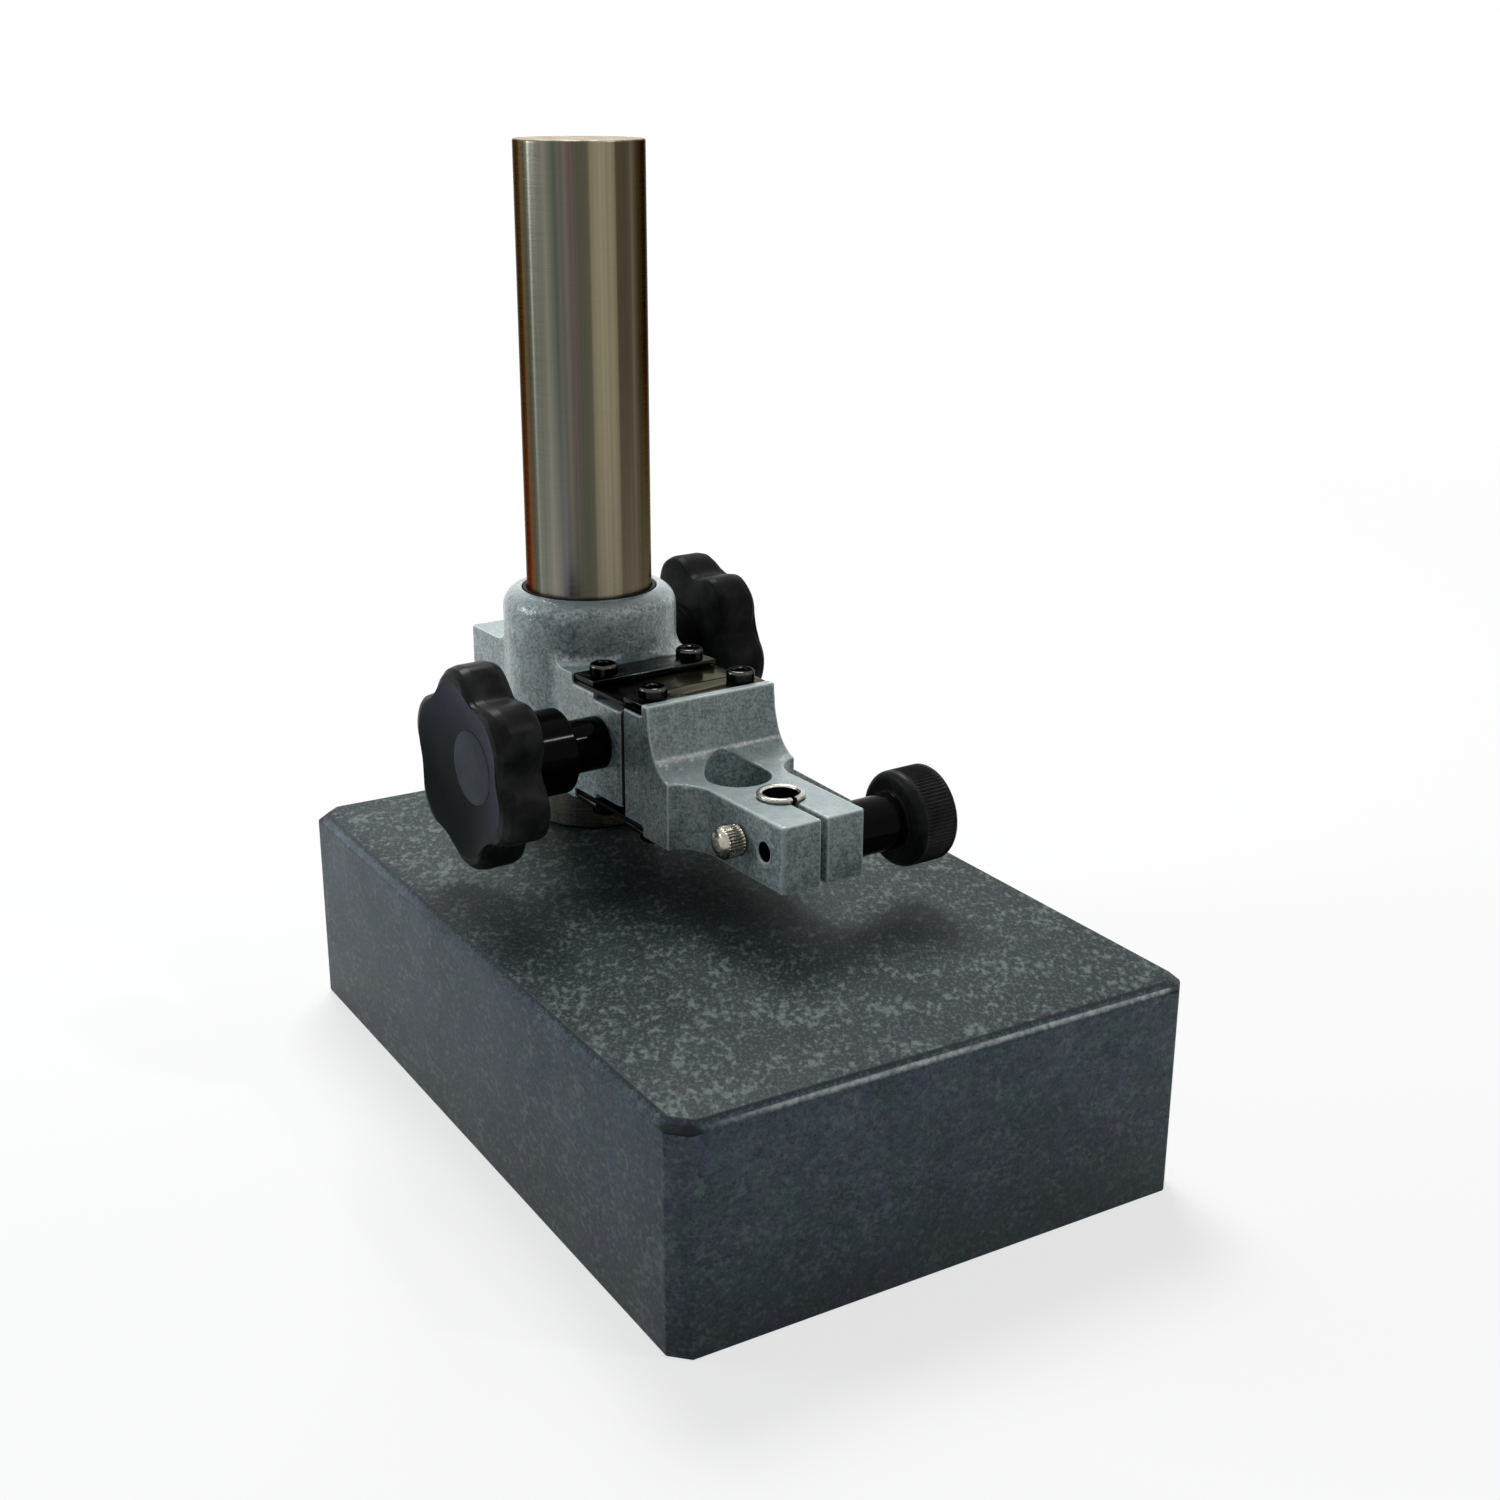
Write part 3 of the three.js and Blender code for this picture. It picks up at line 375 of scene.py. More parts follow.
def column_material():
    """Ground steel: fine rings round the column, and soft upright stripes of painted reflection,
    as polished steel shows.
    """
    material, net = new_material("ground_steel")
    x, y, z = net.parts(net.place())
    angle = net.math("ARCTAN2", net.math("SUBTRACT", y, COLUMN_Y / 1000), x)
    share = net.math("MULTIPLY_ADD", angle, 0.5 / math.pi, 0.5)

    def around(reflection_bands):
        stops = []
        for place, colour in reflection_bands:
            turn = SHOWN_MIDDLE + math.asin(2 * place - 1)
            stops.append(((turn / (2 * math.pi) + 0.5) % 1, colour))
        return net.ramp(share, sorted(stops + REAR_REFLECTION_BANDS))

    blend = net.ramp(net.times(z, 4.0), [(0.5, 1.0), (0.8, 0.0)])
    reflection_bands = net.mix(blend, around(UPPER_REFLECTION_BANDS), around(LOWER_REFLECTION_BANDS))
    streak = net.add("ShaderNodeTexNoise", noise_dimensions="1D")
    net.feed(streak.inputs["W"], net.times(share, 110.0))
    streak.inputs["Scale"].default_value = 1.0
    streak.inputs["Detail"].default_value = 5.0
    streaks = net.ramp(streak.outputs["Fac"], [(0.3, 0.8), (0.7, 1.2)])
    colour = net.tinted(reflection_bands, streaks, 0.5)
    rings = net.noise(net.coordinates((0.02, 0.02, 1)), 0.25, 4, 0.7)
    colour = net.tinted(colour, net.ramp(rings, [(0.35, 0.88), (0.65, 1.1)]), 0.4)
    # The end face is rougher, and marked from front to back
    end = net.ramp(net.normal()[2], [(0.3, 0.0), (0.9, 1.0)])
    marks = net.noise(net.coordinates((1, 0.1, 1)), 3, 3, 0.5)
    face = net.ramp(marks, [(0.35, (0.2, 0.175, 0.145)), (0.65, (0.34, 0.315, 0.27))])
    colour = net.mix(end, colour, face)

    roughness = net.ramp(rings, [(0.3, 0.2), (0.7, 0.34)])
    net.finish(colour, net.mix(end, roughness, (0.6, 0.6, 0.6)),
               {"Metallic": 1.0, "Specular Tint": (0.3, 0.27, 0.22, 1)})
    net.bump(rings, 0.01, 0.25)
    return material


def plastic_material(name, base, low, high, grain_mm, depth_mm, specular, dust_and_sheen=0.0):
    """Moulded plastic: roughness from low to high in soft patches, dust_and_sheen a film of dust
    with painted sheen.
    """
    material, net = new_material(name)
    where = net.coordinates()
    wide = net.noise(where, 14, 3, 0.5)
    grain = net.noise(where, grain_mm, 3, 0.6)
    dim = tuple(channel * 0.7 for channel in base)
    colour = net.ramp(wide, [(0.35, dim), (0.65, base)])
    if dust_and_sheen:
        # Dust and handling, with a painted sheen, in soft patches
        dust_and_sheen_film = net.noise(net.coordinates(location=(0.5, 0.2, 0.9)), 10, 4, 0.6, 0.4)
        dust_and_sheen_film = net.ramp(dust_and_sheen_film, [(0.43, 0.0), (0.73, dust_and_sheen)])
        colour = net.mix(dust_and_sheen_film, colour, (0.085, 0.092, 0.084))
    net.finish(colour, net.ramp(wide, [(0.35, low), (0.65, high)]),
               {"Specular IOR Level": specular})
    net.bump(grain, depth_mm, 0.4)
    return material


def knob_face_material():
    """The dished faces of the star knobs: fine marks, and painted shading, lighter higher up and
    towards the front.
    """
    material, net = new_material("knob_face")
    _, y, z = net.parts(net.place())
    # Painted shading: lighter higher up and towards the front
    painted_light_slope = net.math("MULTIPLY_ADD", z, 13.0, net.math("MULTIPLY_ADD", y, -9.0, -0.6))
    cloud = net.noise(net.coordinates(), 20, 2, 0.5)
    painted_light_slope = net.math("ADD", painted_light_slope, net.times(cloud, 0.3))
    painted_shading = net.ramp(painted_light_slope, [(0.3, (0.017, 0.0195, 0.019)), (0.5, (0.03, 0.034, 0.036)),
                            (0.62, (0.037, 0.041, 0.049)), (0.95, (0.056, 0.06, 0.078))])
    grain = net.noise(net.coordinates(), 0.4, 2, 0.5)
    net.finish(painted_shading, net.ramp(grain, [(0.3, 0.38), (0.7, 0.5)]), {"Specular IOR Level": 0.005})
    net.bump(grain, 0.01, 0.3)
    return material


def metal_material(name, bright, dim, low, high, grain_mm, depth_mm, rim=0.6, edge_wear_and_highlight=0.0):
    """Plain metal: roughness from low to high, rim its tint at glancing angles,
    edge_wear_and_highlight its edges' paleness, from wear and a painted highlight."""
    material, net = new_material(name)
    wide = net.noise(net.coordinates(), 8, 3, 0.5)
    grain = net.noise(net.coordinates(), grain_mm, 4, 0.65)
    both = net.math("MULTIPLY_ADD", grain, 0.5, net.times(wide, 0.5))
    colour = net.ramp(both, [(0.35, dim), (0.62, bright)])
    if edge_wear_and_highlight:
        # The outer edges are paler, from wear by handling and a painted highlight
        edges = net.math("MULTIPLY_ADD", grain, 0.03, net.pointiness())
        colour = net.mix(net.ramp(edges, [(0.53, 0.0), (0.56, edge_wear_and_highlight)]), colour, (0.2, 0.2, 0.19))
    net.finish(colour, net.ramp(grain, [(0.3, low), (0.7, high)]),
               {"Metallic": 1.0, "Specular Tint": (rim, rim, rim, 1)})
    net.bump(grain, depth_mm, 0.4)
    return material


def spring_material(name, stops):
    """Polished spring steel with painted reflections whose colour changes from the left to the
    right.
    """
    material, net = new_material(name)
    x = net.parts(net.place())[0]
    cloud = net.noise(net.coordinates(), 7, 3, 0.5, 0.6)
    reflection_tint = net.ramp(net.math("MULTIPLY_ADD", x, 28.0, net.times(cloud, 0.5)), stops)
    scratch = net.noise(net.coordinates((0.06, 1, 1)), 0.7, 3, 0.6)
    colour = net.tinted(reflection_tint, net.ramp(scratch, [(0.35, 0.8), (0.65, 1.15)]), 0.5)
    # The cut edges that face the front are black
    ends = net.ramp(net.times(net.normal()[1], -1.0), [(0.4, 0.0), (0.8, 0.85)])
    colour = net.mix(ends, colour, (0.006, 0.006, 0.006))
    net.finish(colour, net.ramp(scratch, [(0.3, 0.12), (0.7, 0.22)]),
               {"Metallic": 1.0, "Specular Tint": (0.55, 0.55, 0.53, 1)})
    net.bump(scratch, 0.004, 0.3)
    return material


granite = granite_material()
hammered = hammered_material()
column_steel = column_material()
knob_face = knob_face_material()
knob_black = plastic_material("knob_black", (0.0165, 0.018, 0.0165), 0.26, 0.38, 0.5, 0.02, 0.04,
                              dust_and_sheen=0.36)
# The same plastic as knob_black, darker on the clamp knob as painted shade
shaded_knob_black = plastic_material("shaded_knob_black", (0.011, 0.012, 0.011), 0.3, 0.42, 0.5, 0.02, 0.02,
                               dust_and_sheen=0.2)
knob_cap = plastic_material("knob_cap", (0.072, 0.08, 0.09), 0.4, 0.5, 0.4, 0.01, 0.005)
hub_black = plastic_material("hub_black", (0.004, 0.004, 0.004), 0.1, 0.14, 2.5, 0.002, 0.03)
dull_black = plastic_material("dull_black", (0.004, 0.004, 0.004), 0.4, 0.55, 0.6, 0.02, 0.01)
liner_black = plastic_material("liner_black", (0.026, 0.023, 0.02), 0.45, 0.6, 0.6, 0.02, 0.05)
black_oxide = metal_material("black_oxide", (0.014, 0.014, 0.014), (0.006, 0.006, 0.006),
                             0.12, 0.22, 0.5, 0.02, rim=0.36, edge_wear_and_highlight=0.35)
nickel = metal_material("nickel", (0.52, 0.48, 0.41), (0.2, 0.185, 0.15),
                        0.16, 0.3, 0.6, 0.01, rim=0.8)
bright_nickel = metal_material("bright_nickel", (0.66, 0.64, 0.6), (0.34, 0.32, 0.29),
                               0.12, 0.24, 0.6, 0.01, rim=0.9)
# Near black: painted shade inside the bores and in the gap between the castings
painted_shade_dark = metal_material("painted_shade_dark", (0.016, 0.015, 0.015), (0.006, 0.006, 0.006),
                           0.3, 0.5, 0.6, 0.01, rim=0.05)
zinc_steel = metal_material("zinc_steel", (0.4, 0.41, 0.41), (0.24, 0.25, 0.25),
                            0.26, 0.4, 0.5, 0.01)
# The stops paint reflections of the surroundings along each spring and strip
spring_steel = spring_material("spring_steel", [
    (0.0, (0.03, 0.03, 0.03)), (0.2, (0.055, 0.051, 0.038)), (0.42, (0.082, 0.077, 0.045)),
    (0.9, (0.09, 0.086, 0.05))])
strip_steel = spring_material("strip_steel", [
    (0.0, (0.03, 0.032, 0.034)), (0.2, (0.11, 0.122, 0.132)), (0.6, (0.12, 0.13, 0.138)),
    (0.75, (0.05, 0.048, 0.034))])


# ---------------------------------------------------------------- mesh helpers

def linked(name, mesh):
    obj = bpy.data.objects.new(name, mesh)
    bpy.context.scene.collection.objects.link(obj)
    return obj


def dress(obj, body, slot, material, *replaced, crease=35):
    """Gives a piece its material and smooth shading, and puts it under its body. The CAD nodes
    that it stands for are hidden. A piece that flexes has (body, body, start, end) as its body,
    the two points in metres, and is only moved into place. The slot is not used."""
    indices = [0] * len(obj.data.polygons)
    obj.data.polygons.foreach_get("material_index", indices)
    obj.data.materials.clear()
    for one in material if isinstance(material, list) else [material]:
        obj.data.materials.append(one)
    if len(obj.data.materials) > 1:
        obj.data.polygons.foreach_set("material_index", indices)
    obj.data.shade_smooth()
    obj.data.set_sharp_from_angle(angle=math.radians(crease))
    if isinstance(body, tuple):
        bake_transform(obj)
    else:
        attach(obj, body)
    if replaced:
        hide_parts(*replaced)


def reworked(mesh, work_on):
    """Runs work_on(bmesh) on a mesh."""
    work = bmesh.new()
    work.from_mesh(mesh)
    work_on(work)
    work.to_mesh(mesh)
    work.free()


def piece(name, verts, faces, matrix, face_materials=None):
    """A new object from points in millimetres."""
    mesh = bpy.data.meshes.new(name)
    mesh.from_pydata(verts, [], faces)
    if face_materials:
        mesh.polygons.foreach_set("material_index", face_materials)
    mesh.transform(MM @ matrix)
    mesh.update()
    reworked(mesh, lambda work: bmesh.ops.recalc_face_normals(work, faces=work.faces))
    return linked(name, mesh)


def rounded(points, closed=False, steps=4):
    """Turns (radius, height, rounding, tag) points into (radius, height, tag) points, with an
    arc at each corner that has a rounding. Rounding and tag may be left out."""
    result = []
    count = len(points)
    for index, point in enumerate(points):
        here = Vector(point[:2])
        size = point[2] if len(point) > 2 else 0
        tag = point[3] if len(point) > 3 else None
        if size <= 0 or (not closed and index in (0, count - 1)):
            result.append((here.x, here.y, tag))
            continue
        before = Vector(points[(index - 1) % count][:2]) - here
        after = Vector(points[(index + 1) % count][:2]) - here
        half = before.angle(after) / 2
        # An arc takes up a little less than half of the shorter side
        reach = min(size / math.tan(half), before.length * 0.49, after.length * 0.49)
        size = reach * math.tan(half)
        start = here + before.normalized() * reach
        end = here + after.normalized() * reach
        middle = (before.normalized() + after.normalized()).normalized()
        centre = here + middle * (size / math.sin(half))
        for step in range(steps + 1):
            spoke = (start - centre).lerp(end - centre, step / steps)
            spot = centre + spoke.normalized() * size
            result.append((spot.x, spot.y, tag))
    return result


def supported(points, closed):
    """Adds a point just inside each end of a long stretch, so that its shading stays straight."""
    inset, long_stretch = 0.2, 1.2
    result = []
    count = len(points)
    for index in range(count if closed else count - 1):
        before, after = points[index], points[(index + 1) % count]
        result.append(before)
        gap = math.hypot(after[0] - before[0], after[1] - before[1])
        if gap > long_stretch:
            for share, tag in ((inset / gap, before[2]), (1 - inset / gap, after[2])):
                if isinstance(before[2], float) and isinstance(after[2], float):
                    tag = before[2] + (after[2] - before[2]) * share
                result.append((before[0] + (after[0] - before[0]) * share,
                               before[1] + (after[1] - before[1]) * share, tag))
    return result if closed else result + [points[-1]]


def hex_radius(apothem, angle):
    return apothem / math.cos((angle + math.pi / 6) % (math.pi / 3) - math.pi / 6)


def revolve(name, profile, matrix, sides, shape=None, closed=False, arc=None, banded=None):
    """Turns a profile of (radius, height, tag) points about Z. The profile starts and ends on
    the axis, or is closed. shape(radius, height, tag, angle) may change the radius, the tag hex
    makes it a hexagon, arc limits the turn and caps its ends, and banded(low, high) gives the
    material of the faces between two points."""
    on_axis = 1e-6
    profile = supported(profile, closed)
    full = arc is None
    start, end = arc or (0, 2 * math.pi)
    columns = sides if full else sides + 1
    verts, rings = [], []
    for radius, height, tag in profile:
        if radius < on_axis:
            rings.append([len(verts)] * columns)
            verts.append((0, 0, height))
            continue
        ring = []
        for side in range(columns):
            angle = start + (end - start) * side / sides
            actual = shape(radius, height, tag, angle) if shape else radius
            if tag == "hex":
                actual = hex_radius(radius, angle)
            ring.append(len(verts))
            verts.append((actual * math.cos(angle), actual * math.sin(angle), height))
        rings.append(ring)
    faces, materials = [], []
    pairs = list(zip(range(len(rings)), range(1, len(rings))))
    if closed:
        pairs.append((len(rings) - 1, 0))
    for low, high in pairs:
        for side in range(sides):
            after = (side + 1) % columns
            corners = (rings[low][side], rings[low][after], rings[high][after], rings[high][side])
            corners = tuple(dict.fromkeys(corners))
            if len(corners) > 2:
                faces.append(corners)
                materials.append(banded(profile[low], profile[high]) if banded else 0)
    if not full and closed:
        for side in (0, columns - 1):
            faces.append(tuple(ring[side] for ring in rings))
            materials.append(0)
    return piece(name, verts, faces, matrix, materials if banded else None)


def swell(radius, height, end_radius, end_height):
    """A quarter of an ellipse that leaves square to the axis and ends along it."""
    steps = 10
    angles = [math.pi / 2 * step / steps for step in range(steps + 1)]
    return [(radius + (end_radius - radius) * math.sin(angle),
             end_height + (height - end_height) * math.cos(angle)) for angle in angles]


def knurl(teeth, depth, low, high, fade):
    """Straight knurling between two heights, fading out at its ends."""
    def shape(radius, height, tag, angle):
        inside = min(1, max(0, (height - low) / fade), max(0, (high - height) / fade))
        wave = abs((angle * teeth / (2 * math.pi)) % 1 * 2 - 1)
        return radius - depth * inside * wave if tag == "knurl" else radius
    return shape


def knurled_points(radius, low, high, steps):
    return [(radius, low + (high - low) * step / steps, 0, "knurl") for step in range(steps + 1)]


def copy_of(node, name):
    """A new object with the CAD node's mesh, welded, in metres."""
    weld = 2e-6
    mesh = cad_nodes[node].data.copy()
    mesh.name = name
    reworked(mesh, lambda work: bmesh.ops.remove_doubles(work, verts=work.verts, dist=weld))
    return linked(name, mesh)


def apply_modifiers(obj):
    graph = bpy.context.evaluated_depsgraph_get()
    mesh = bpy.data.meshes.new_from_object(obj.evaluated_get(graph))
    old = obj.data
    obj.modifiers.clear()
    obj.data = mesh
    bpy.data.meshes.remove(old)


def bevelled(node, name, width_mm, segments):
    """The CAD node with its flat faces joined up and its edges rounded."""
    obj = copy_of(node, name)
    reworked(obj.data, lambda work: bmesh.ops.dissolve_limit(
        work, angle_limit=math.radians(1), verts=work.verts, edges=work.edges))
    modifier = obj.modifiers.new("edges", "BEVEL")
    modifier.width = width_mm / 1000
    modifier.segments = segments
    modifier.limit_method = "ANGLE"
    modifier.angle_limit = math.radians(30)
    modifier.use_clamp_overlap = True
    apply_modifiers(obj)
    return obj


def ringed(obj, start, end, count):
    """Cuts the piece across at even steps along the arm, so that it can bend there."""
    along = ARM.to_3x3() @ Vector((0, 1, 0))

    def cut(work):
        for step in range(count + 1):
            place = MM @ ARM @ Vector((0, start + (end - start) * step / count, 0))
            bmesh.ops.bisect_plane(work, geom=work.verts[:] + work.edges[:] + work.faces[:],
                                   dist=1e-7, plane_co=place, plane_no=along)
    reworked(obj.data, cut)
    return obj


def cast(node, name, voxel_mm, rounds, hollows):
    """The CAD node as a casting: remeshed evenly in the arm's own axes, its edges smoothed round.
    The hollows are boxes, cut out first, given in the arm's own axes as ranges of x, y and z."""
    obj = copy_of(node, name)
    sides = [(0, 2, 3, 1), (4, 5, 7, 6), (0, 1, 5, 4), (2, 6, 7, 3), (0, 4, 6, 2), (1, 3, 7, 5)]
    for number, ranges in enumerate(hollows):
        # Each of a corner's three bits picks one end of a range
        corners = [tuple(ranges[axis][(corner >> axis) & 1] for axis in range(3))
                   for corner in range(8)]
        cutter = piece(f"{name}_hollow_{number}", corners, sides, ARM)
        cut = obj.modifiers.new("cut", "BOOLEAN")
        cut.operation = "DIFFERENCE"
        cut.solver = "EXACT"
        cut.object = cutter
        apply_modifiers(obj)
        bpy.data.objects.remove(cutter)
    to_metres = MM @ ARM
    obj.data.transform(to_metres.inverted())
    obj.data.transform(MM)
    remesh = obj.modifiers.new("even", "REMESH")
    remesh.mode = "VOXEL"
    remesh.voxel_size = voxel_mm / 1000
    soften = obj.modifiers.new("soften", "SMOOTH")
    soften.factor = 0.5
    soften.iterations = rounds
    apply_modifiers(obj)
    obj.data.transform(MM.inverted())
    obj.data.transform(to_metres)
    return obj


def machined_with_gap_shade(obj, low, high):
    """Gives the second material, painted shade, to the faces between low and high along the arm."""
    back = (MM @ ARM).inverted()
    for polygon in obj.data.polygons:
        polygon.material_index = int(low < (back @ polygon.center).y < high)
    return obj


# ---------------------------------------------------------------- base and column

dress(bevelled("granite_base", "granite_block", 0.5, 3), "base", "granite", granite,
      "granite_base")

column = revolve("steel_column", rounded([
    (0, 25), (5.3, 25, 0.2), (5.3, 0, 0.4), (COLUMN_RADIUS, 0, 0.7),
    (COLUMN_RADIUS, COLUMN_LENGTH, 0.7), (0, COLUMN_LENGTH)]),
    Matrix.Translation((0, COLUMN_Y, COLUMN_FOOT)), sides=160)
dress(column, "base", "ground_steel", column_steel, "column")

bolt = revolve("column_hex_bolt", rounded([
    (0, -39), (5, -39, 0.6), (5, 0, 0.2), (8, 0, 0.4), (8, 10, 0.8), (4.6, 10, 0.1),
    (4, 9.6, 0, "hex"), (4, 5, 0, "hex"), (0, 4.4)]),
    Matrix.Translation((0, COLUMN_Y, BOLT_SEAT)) @ FLIP, sides=72)
dress(bolt, "base", "zinc_steel", zinc_steel, "column_bolt")

# ---------------------------------------------------------------- castings

# Between the clamping strips the leaf springs stand clear of the bracket
RELIEFS = [((-30, 30), (-60, -37.4), (33.0, 45)), ((-30, 30), (-60, -37.4), (-8, 4.8))]
for name, voxel, rounds, hollows, face in (("bracket", 0.42, 5, RELIEFS, BRACKET_GAP_SHADE),
                                           ("front_arm", 0.4, 4, (), FRONT_ARM_GAP_SHADE)):
    dress(machined_with_gap_shade(cast(name, f"{name}_casting", voxel, rounds, hollows), *face), name,
          "hammered_paint", [hammered, painted_shade_dark], name, crease=180)

# ---------------------------------------------------------------- springs, strips and screws

for level, middle in LEAF_HEIGHTS:
    bend = [MM @ ARM @ Vector((0, reach, middle)) for reach in (CLAMPED, FREE_END)]
    leaf = bevelled(f"{level}_leaf_spring", f"{level}_spring_leaf", 0.12, 2)
    dress(ringed(leaf, CLAMPED, FREE_END, 12), ("bracket", "front_arm", *bend), "spring_steel",
          spring_steel, f"{level}_leaf_spring")
    for end, body, steel in (("rear", "bracket", strip_steel),
                             ("front", "front_arm", spring_steel)):
        dress(bevelled(f"{level}_strip_{end}", f"{level}_{end}_clamp_strip", 0.25, 2), body,
              "spring_steel", steel, f"{level}_strip_{end}")

for level, seat, flip in (("upper", HEAD_SEAT, WORLD), ("lower", MIRROR_SUM - HEAD_SEAT, FLIP)):
    for end, along, body in SCREW_ROWS:
        for side, across in (("left", -SCREW_SIDE), ("right", SCREW_SIDE)):
            screw = revolve(f"{level}_{end}_{side}_cap_screw", rounded([
                (0, -SHANK), (2.4, -SHANK, 0.4), (2.4, 0, 0.1), (4, 0, 0.2), (4, 3.2, 1.1),
                (2.0, 3.2, 0.15), (1.55, 2.95, 0, "hex"), (1.5, 1.6, 0, "hex"), (0, 1.3)]),
                on_arm(across, along, seat, flip), sides=72)
            dress(screw, body, "black_oxide", black_oxide, f"{level}_screw_{end}_{side}")

# ---------------------------------------------------------------- stem bush and its set screw

slit = math.asin(0.6 / 5.5)
# The faces inside the bush's bore take the near black of painted shade
bush = revolve("stem_bush_ring", rounded([
    (4.765, 0, 0.25), (6.1, 0, 0.25), (6.1, 19.0, 0), (6.6, 19.0, 0.2), (6.6, 20.1, 0.8),
    (4.765, 20.1, 0.8)], closed=True, steps=7), on_arm(0, STEM_Y, 0), sides=96, closed=True,
    arc=(-math.pi / 2 + slit, 1.5 * math.pi - slit),
    banded=lambda low, high: 1 if max(low[0], high[0]) < 4.9 else 0)
dress(bush, "front_arm", "nickel", [bright_nickel, painted_shade_dark], "stem_bush")

set_screw = revolve(
    "bush_thumb_screw",
    rounded([(0, 0.3), (1.8, 0.35, 2), (3.2, 0.75, 1.6), (4.0, 1.45, 0.9), (4.35, 2.1, 0, "knurl"),
             *knurled_points(4.35, 2.2, 6.7, 8), (4.35, 6.8, 0, "knurl"), (3.9, 7.4, 0.3),
             (1.7, 7.4, 0.1), (1.7, 14.3, 0.2), (0, 14.3)]),
    on_arm(-TIP_SIDE - 7.4, STEM_Y, TIP_MIDDLE, TO_PLUS_X), sides=256,
    shape=knurl(30, 0.36, 1.8, 6.8, 0.6))
dress(set_screw, "set_screw", "nickel", nickel, "bush_set_screw", crease=50)

# ---------------------------------------------------------------- stem clamp

clamp_knob = revolve(
    "stem_clamp_grip",
    rounded([(0, 24.5), (2.75, 24.5, 0.1), (2.75, 0, 0.2), (7.7, 0, 0.4), (7.7, 15.2, 0.8),
             (10.4, 15.2), *swell(10.5, 15.2, 13.3, 17.6), *knurled_points(13.3, 17.7, 27.0, 9),
             (13.3, 27.2, 0, "knurl"), (12.9, 27.9, 0.5), (11.6, 28.2, 0.6), (9.6, 28.2, 0.4),
             (9.2, 27.9, 0.3), (0, 27.9)]),
    on_arm(TIP_SIDE, STEM_CLAMP_Y, TIP_MIDDLE, TO_PLUS_X), sides=480,
    shape=knurl(80, 0.42, 17.5, 27.2, 0.7),
    # The hub outside the screw's bore is glossier than the grip, which starts at 15.2
    banded=lambda low, high: int(max(low[1], high[1]) < 15.1 and min(low[0], high[0]) > 2.75))
dress(clamp_knob, "stem_clamp", "black_plastic", [knob_black, hub_black], "stem_clamp_knob",
      crease=50)

# A near black sleeve of painted shade lines the clamp screw's hole on the arm's left side
bore = revolve("clamp_screw_bore_shade", rounded([
    (2.45, -12.7, 0.1), (2.76, -12.7, 0.1), (2.76, -7.3, 0.1), (2.45, -7.3, 0.1)], closed=True),
    on_arm(0, STEM_CLAMP_Y, TIP_MIDDLE, TO_PLUS_X), sides=48, closed=True)
dress(bore, "front_arm", "black_oxide", painted_shade_dark)

# ---------------------------------------------------------------- star knobs, sleeve and spacer

LOBES, SCALLOP, SCALLOP_POWER = 6, 5.4, 1.5


def star_knob(name, matrix, turn, bore_radius):
    """A lobed knob: the hub starts at height 0, and the lobed rim ends at 31.2. The tag is how
    deep the scallops are at that point of the profile, as a share."""
    profile = rounded([
        (0, 20.3), (bore_radius, 20.3, 0.1), (bore_radius, 0, 0.3), (12.1, 0, 0.5),
        (12.1, 15.4, 1.6), (21.5, 16.2, 0.8, 0.9), (24.5, 16.5, 1.5, 1.0), (27.6, 17.2, 1.6, 1.0),
        (28.4, 19.5, 1.0, 1.0), (28.4, 27.0, 1.0, 1.0), (27.8, 29.4, 1.0, 0.95),
        (26.2, 30.8, 0.6, 0.75), (24.4, 31.2, 0.3, 0.4), (23.4, 31.0, 0.3, 0.3),
        (18.0, 28.9, 8.0, 0.05), (12.2, 27.3, 2.0), (10.5, 27.0, 0.08), (10.5, 24.5, 0.1),
        (0, 24.5)], steps=5)

    def shape(radius, height, tag, angle):
        if not isinstance(tag, float):
            return radius
        dip = (0.5 - 0.5 * math.cos(LOBES * (angle - math.pi / 2 - turn))) ** SCALLOP_POWER
        return radius - SCALLOP * tag * dip

    def band(low, high):
        """The rim is 0, the dished face 1 and the hub 2."""
        if min(low[1], high[1]) > 26.5 and max(low[0], high[0]) < 24.5:
            return 1
        return 2 if low[1] < 15.5 and high[1] < 15.6 and min(low[0], high[0]) > bore_radius else 0

    return revolve(name, profile, matrix, sides=168, shape=shape, banded=band)


def star_cap(name, matrix):
    return revolve(name, rounded([
        (0, 24.6), (10.44, 24.6, 0.2), (10.44, 27.12, 0.12), (9.6, 27.2, 0.3), (0, 27.2)]),
        matrix, sides=96)


# The turn runs from the arm's -Y to +Z in TO_MINUS_X, and from its +Y to +Z in TO_PLUS_X
for name, body, place, turn, bore_radius, materials in (
        ("feed", "fine_feed", on_arm(-STAR_SIDE, FEED_Y, FEED_Z, TO_MINUS_X), 8, 3.8,
         [knob_black, knob_face, hub_black]),
        ("clamp", "column_clamp", on_arm(STAR_SIDE, CLAMP_Y, CLAMP_Z, TO_PLUS_X), -20, 4.3,
         [shaded_knob_black, knob_face, dull_black])):
    dress(star_knob(f"{name}_star_knob", place, math.radians(turn), bore_radius), body,
          "black_plastic", materials, f"{name}_knob", crease=40)
    dress(star_cap(f"{name}_star_cap", place), body, "black_plastic", knob_cap,
          f"{name}_knob_cap")

sleeve = revolve("feed_step_sleeve", rounded([
    (3.8, -33.7, 0.2), (7.6, -33.7, 0.4), (7.6, -21.3, 0.3), (5.2, -21.3, 0), (5.2, -10, 0.2),
    (3.8, -10, 0.2)], closed=True),
    on_arm(0, FEED_Y, FEED_Z, TO_PLUS_X), sides=96, closed=True)
dress(sleeve, "bracket", "black_plastic", hub_black, "feed_sleeve")

